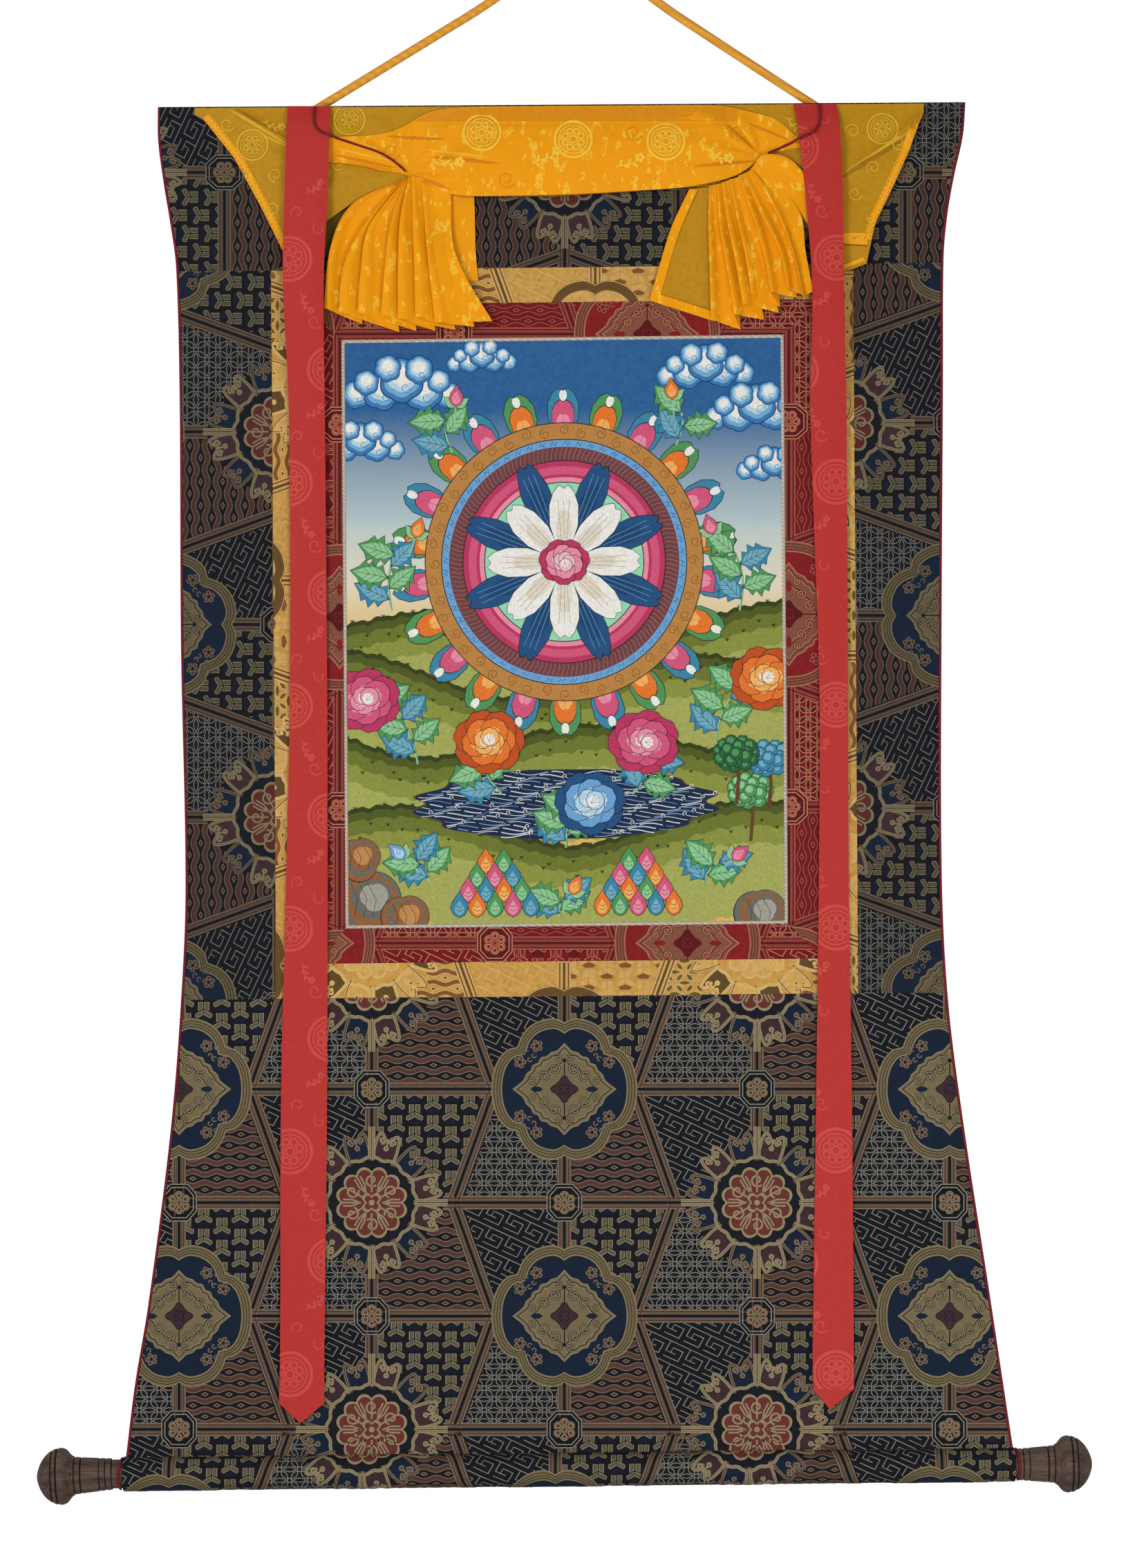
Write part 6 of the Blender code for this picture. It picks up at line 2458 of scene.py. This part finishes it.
def ribbons(material, palette):
    """The two damask ribbons with pointed ends."""
    for side, rows, tip, shift in (
        ("left", LEFT_RIBBON_ROWS, LEFT_RIBBON_TIP, 0.0),
        ("right", RIGHT_RIBBON_ROWS, RIGHT_RIBBON_TIP, RIGHT_RIBBON_SHIFT),
    ):
        shoulder = rows[-1][0]
        straight = 260
        point_rows = 6

        def spot(across, down, rows=rows, tip=tip, shoulder=shoulder):
            step = down * (straight + point_rows)
            if step <= straight:
                drop = blend(rows[0][0], shoulder, step / straight)
                left, right = read_rows(rows, drop)
                x = blend(left, right, across)
            else:
                left, right = read_rows(rows, shoulder)
                share = (step - straight) / point_rows * 0.97
                x = blend(blend(left, right, across), tip[0], share)
                drop = blend(shoulder, tip[1], share)
            return x, ribbon_front(rows, x, min(drop, shoulder)), drop

        cloth = sheet(f"damask_ribbon_{side}", 14, straight + point_rows, spot, RIBBON_CLOTH, material)
        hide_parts(f"ribbon_{side}")

        def place(x, y, layer, rows=rows, shoulder=shoulder):
            depth = ribbon_front(rows, x, min(y, shoulder)) + RIBBON_CLOTH
            return point(x, depth + RIBBON_PATTERN_STEP * (1 + layer), y)

        motifs = Design()
        left_x = rows[0][1]
        for k in range(7):
            down = 200.0 + shift + RIBBON_REPEAT * k
            for across, below in ((2.0, 70.0), (37.0, 165.0)):
                round_fret(motifs, (left_x + across, down + below), 20.0, "damask", 1)
            for across, below, angle, length in ((12.0, 100.0, 1.0, 17.0), (16.0, 14.0, -0.7, 16.0)):
                sprig(motifs, (left_x + across, down + below), angle, length, "damask", 1)
            for across, below, start, turns, radius, hand, width in (
                (24.0, 124.0, 0.6, 1.0, 6.5, 1.0, 1.2),
                (9.0, 30.0, 2.6, 0.9, 6.0, 1.0, 1.2),
                (28.0, 44.0, 4.0, 0.8, 6.0, -1.0, 1.1),
            ):
                curl = spiral((left_x + across, down + below), start, turns, radius, hand)
                motifs.line(curl, width, "damask", 1)
        walls = [
            lambda x, y, rows=rows: x - read_rows(rows, min(y, rows[-1][0]))[0] - 0.5,
            lambda x, y, rows=rows: read_rows(rows, min(y, rows[-1][0]))[1] - 0.5 - x,
            lambda x, y, rows=rows: y - rows[0][0] - 1.0,
            lambda x, y, shoulder=shoulder: shoulder - y,
        ]
        damask = lay(f"damask_ribbon_{side}_pattern", motifs, [upright(0.0, 0.0)], place, walls, WHOLE,
                     palette)


# The photograph's view and its light


def photo_camera():
    """A long lens square to the scroll, framed as the photograph is."""
    camera = bpy.data.objects.new("photo_camera", bpy.data.cameras.new("photo_camera"))
    tall = PHOTO_HEIGHT * PIXEL
    camera.data.sensor_fit = "VERTICAL"
    camera.data.sensor_height = SENSOR
    camera.data.lens = SENSOR * CAMERA_AWAY / tall
    camera.location = point(0.0, CAMERA_AWAY, (PHOTO_HEIGHT / 2 - PHOTO_NAIL_ROW) * PIXEL)
    camera.rotation_euler = (math.pi / 2, 0.0, 0.0)
    bpy.context.scene.collection.objects.link(camera)
    bpy.context.scene.camera = camera


def studio():
    """White surroundings, two soft lamps and a plain pale floor."""
    world = bpy.data.worlds.new("studio")
    world.use_nodes = True
    world.node_tree.nodes["Background"].inputs["Color"].default_value = (1.0, 1.0, 1.0, 1.0)
    tree = world.node_tree
    seen = tree.nodes.new("ShaderNodeLightPath").outputs["Is Camera Ray"]
    strength = tree.nodes.new("ShaderNodeMapRange")
    strength.inputs["To Min"].default_value = AMBIENT
    tree.links.new(seen, strength.inputs["Value"])
    tree.links.new(strength.outputs["Result"], tree.nodes["Background"].inputs["Strength"])
    bpy.context.scene.world = world
    bpy.context.scene.view_settings.view_transform = "Standard"
    for name, spot, power, size in LAMPS:
        lamp = bpy.data.lights.new(name, "AREA")
        lamp.energy = power
        lamp.size = size
        holder = bpy.data.objects.new(name, lamp)
        holder.location = spot
        aim = Vector(LAMP_AIM) - holder.location
        holder.rotation_euler = aim.to_track_quat("-Z", "Y").to_euler()
        bpy.context.scene.collection.objects.link(holder)
    shader = Shader("pale_floor")
    tone = shader.mix(shader.noise(300.0), (0.6, 0.6, 0.6), (0.64, 0.64, 0.64))
    pale = shader.finish(tone, 0.7, shader.noise(20.0), 0.05)
    mesh = bpy.data.meshes.new("studio_floor")
    corners = [(-FLOOR_HALF, FLOOR_FRONT, FLOOR_HEIGHT), (FLOOR_HALF, FLOOR_FRONT, FLOOR_HEIGHT),
               (FLOOR_HALF, FLOOR_BACK, FLOOR_HEIGHT), (-FLOOR_HALF, FLOOR_BACK, FLOOR_HEIGHT)]
    mesh.from_pydata(corners, [], [(0, 1, 2, 3)])
    mesh.materials.append(pale)
    floor = bpy.data.objects.new("studio_floor", mesh)
    bpy.context.scene.collection.objects.link(floor)


def brocade_palette(label, amount):
    """The dark brocade's silks, their floss as bright as its direction makes them: a lower amount is
    painted shade for the duller sheen of the crossways weave.
    """

    def thread(name, red, green, blue):
        return floss(f"{label}_{name}", shaded(screen(red, green, blue), amount))

    def plain(name, red, green, blue):
        return woven(f"{label}_{name}", screen(red, green, blue), 0.75, 0.02)

    night = plain("night", 22, 22, 32)
    return {
        "line": thread("khaki", 158, 144, 108),
        "rope": thread("olive", 122, 108, 75),
        "figure": thread("ash", 126, 112, 80),
        "block": thread("moss", 96, 91, 72),
        "pocket": plain("pocket", 20, 26, 42),
        "leaf_core": night,
        "groove": night,
        "pale": thread("straw", 130, 114, 90),
        "pink": thread("rose", 90, 58, 50),
        "silver": thread("grey", 144, 141, 126),
        "black": plain("black", 16, 15, 22),
        "ground": night,
        "navy": plain("navy", 18, 32, 52),
        "plum": plain("plum", 62, 42, 46),
        "rust": thread("rust", 112, 50, 44),
    }


def main():
    """The whole scene, in the order in which its pieces are made."""
    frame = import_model()
    photo_camera()
    studio()
    dark = woven("dark_ground", screen(20, 21, 30), 0.8, 0.02)
    red = woven("red_ground", screen(120, 20, 26), 0.75, 0.02)
    gold = woven("gold_ground", screen(204, 154, 74), 0.6, 0.02)
    crimson = floss("crimson_twist", screen(138, 34, 48), 0.75, 0.02, 2.0, 0.4)
    pale_cord = floss("pale_twist", screen(212, 198, 180), 0.85, 0.02, 2.2, 0.3)
    silk_cord = floss("folded_silk", screen(248, 172, 60), 0.6, 0.02, 5.0, 0.18)
    red_line = floss("rosegold_floss", screen(208, 138, 104), 0.5)
    red_dim = floss("dim_rosegold_floss", screen(168, 94, 74), 0.5)
    red_deep = woven("deep_red_silk", screen(88, 14, 22), 0.6, 0.02)
    red_mid = woven("mid_red_silk", screen(134, 24, 30), 0.6, 0.02)
    earth = floss("earth_floss", screen(142, 86, 64))
    red_palette = {"line": red_line, "rope": earth, "figure": earth, "block": red_mid,
                   "pocket": red_deep, "leaf_core": red_deep, "groove": red_deep, "pale": red_dim,
                   "silver": red_line, "pink": red, "black": red_deep, "ground": red, "navy": red_mid,
                   "plum": red_deep, "rust": red_mid}
    brown = floss("brown_floss", screen(140, 90, 44), 0.6)
    umber = floss("umber_floss", screen(104, 78, 38), 0.6)
    honey = woven("honey_silk", screen(212, 166, 88), 0.5, 0.02)
    straw = floss("bright_straw_floss", screen(230, 190, 116), 0.55)
    olive = woven("olive_silk", screen(110, 90, 36), 0.7, 0.02)
    gold_palette = {"line": straw, "rope": umber, "figure": honey, "block": honey, "pocket": brown,
                    "leaf_core": olive, "groove": brown, "pale": straw,
                    "silver": straw, "pink": brown, "black": umber, "ground": gold, "navy": honey,
                    "plum": umber, "rust": honey}
    hanging_cord(silk_cord)
    ties(crimson)
    cell = brocade_cell()
    # The crossways copy's floss at 0.7 is painted shade for its duller sheen
    panels(dark, cell, brocade_palette("lengthways", 1.0), brocade_palette("crossways", 0.7))
    frames({"red": red, "gold": gold}, cell, {"red": red_palette, "gold": gold_palette})
    cotton = painting_sheet(painting_ground())
    cotton.data.materials.append(woven("bare_cotton", screen(214, 206, 190), 0.85, 0.02))
    for face in cotton.data.polygons:
        face.material_index = face.normal.y > 0.5
    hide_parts("painting")
    edge = corded_edge(pale_cord)
    picture = painting()
    side_cords(crimson)
    mouth_cords(crimson)

    def thin_silk(name, colour, roughness=0.5, blotch=0.04, strength=0.15, sheen=0.02):
        return woven(name, screen(*colour), roughness, sheen, 0.7, blotch, strength)

    red_silk = thin_silk("ribbon_silk", (191, 52, 48), 0.55, 0.05, 0.2)
    ribbons(red_silk, {"damask": thin_silk("ribbon_damask", (208, 76, 68), 0.45)})
    veil({
        "silk": damask_silk("veil_silk", screen(252, 164, 12), screen(255, 196, 56)),
        "shade": thin_silk("veil_shade", (98, 74, 20), 0.7, 0.08, 0.2, 0.0),
        "sheer": thin_silk("veil_single_layer", (196, 142, 20), 0.5, 0.08, 0.2),
        "veil_palette": {
            "shine": thin_silk("veil_damask", (255, 202, 62)),
            "shade": thin_silk("veil_shaded_damask", (238, 146, 8)),
            # Painted highlight and painted shade for the swag's finer folds
            "painted_fold_highlight": thin_silk("veil_lit_fold", (255, 184, 40)),
            "painted_fold_shade": thin_silk("veil_shaded_fold", (226, 132, 10), 0.55, 0.05),
            # The wings' painted shade, and one colour for both their damask motifs and the painted
            # highlight on their folds
            "dim": thin_silk("veil_wing_shade", (170, 120, 18), 0.55, 0.05),
            "wing_damask_and_highlight": thin_silk("veil_wing_damask_and_highlight", (222, 176, 44), 0.45),
            "hem": thin_silk("veil_hem", (250, 172, 30)),
            "roll": thin_silk("veil_roll_painted_shade", (232, 148, 18), 0.5, 0.06, 0.2),
            "fold": thin_silk("veil_fold_line_painted_shade", (158, 98, 14), 0.7, sheen=0.0),
            "stitch": thin_silk("veil_stitch", (178, 106, 18), 0.7, sheen=0.0),
        },
    })
    wood = turned_wood("turned_wood_grain", screen(107, 87, 76), screen(47, 35, 31))
    # The grooves' darker wood is painted shade
    knobs(wood, turned_wood("groove_painted_shade", screen(40, 29, 26), screen(24, 17, 16)))
    for slot in frame["nodes"]["rod"].material_slots:
        slot.material = wood


main()
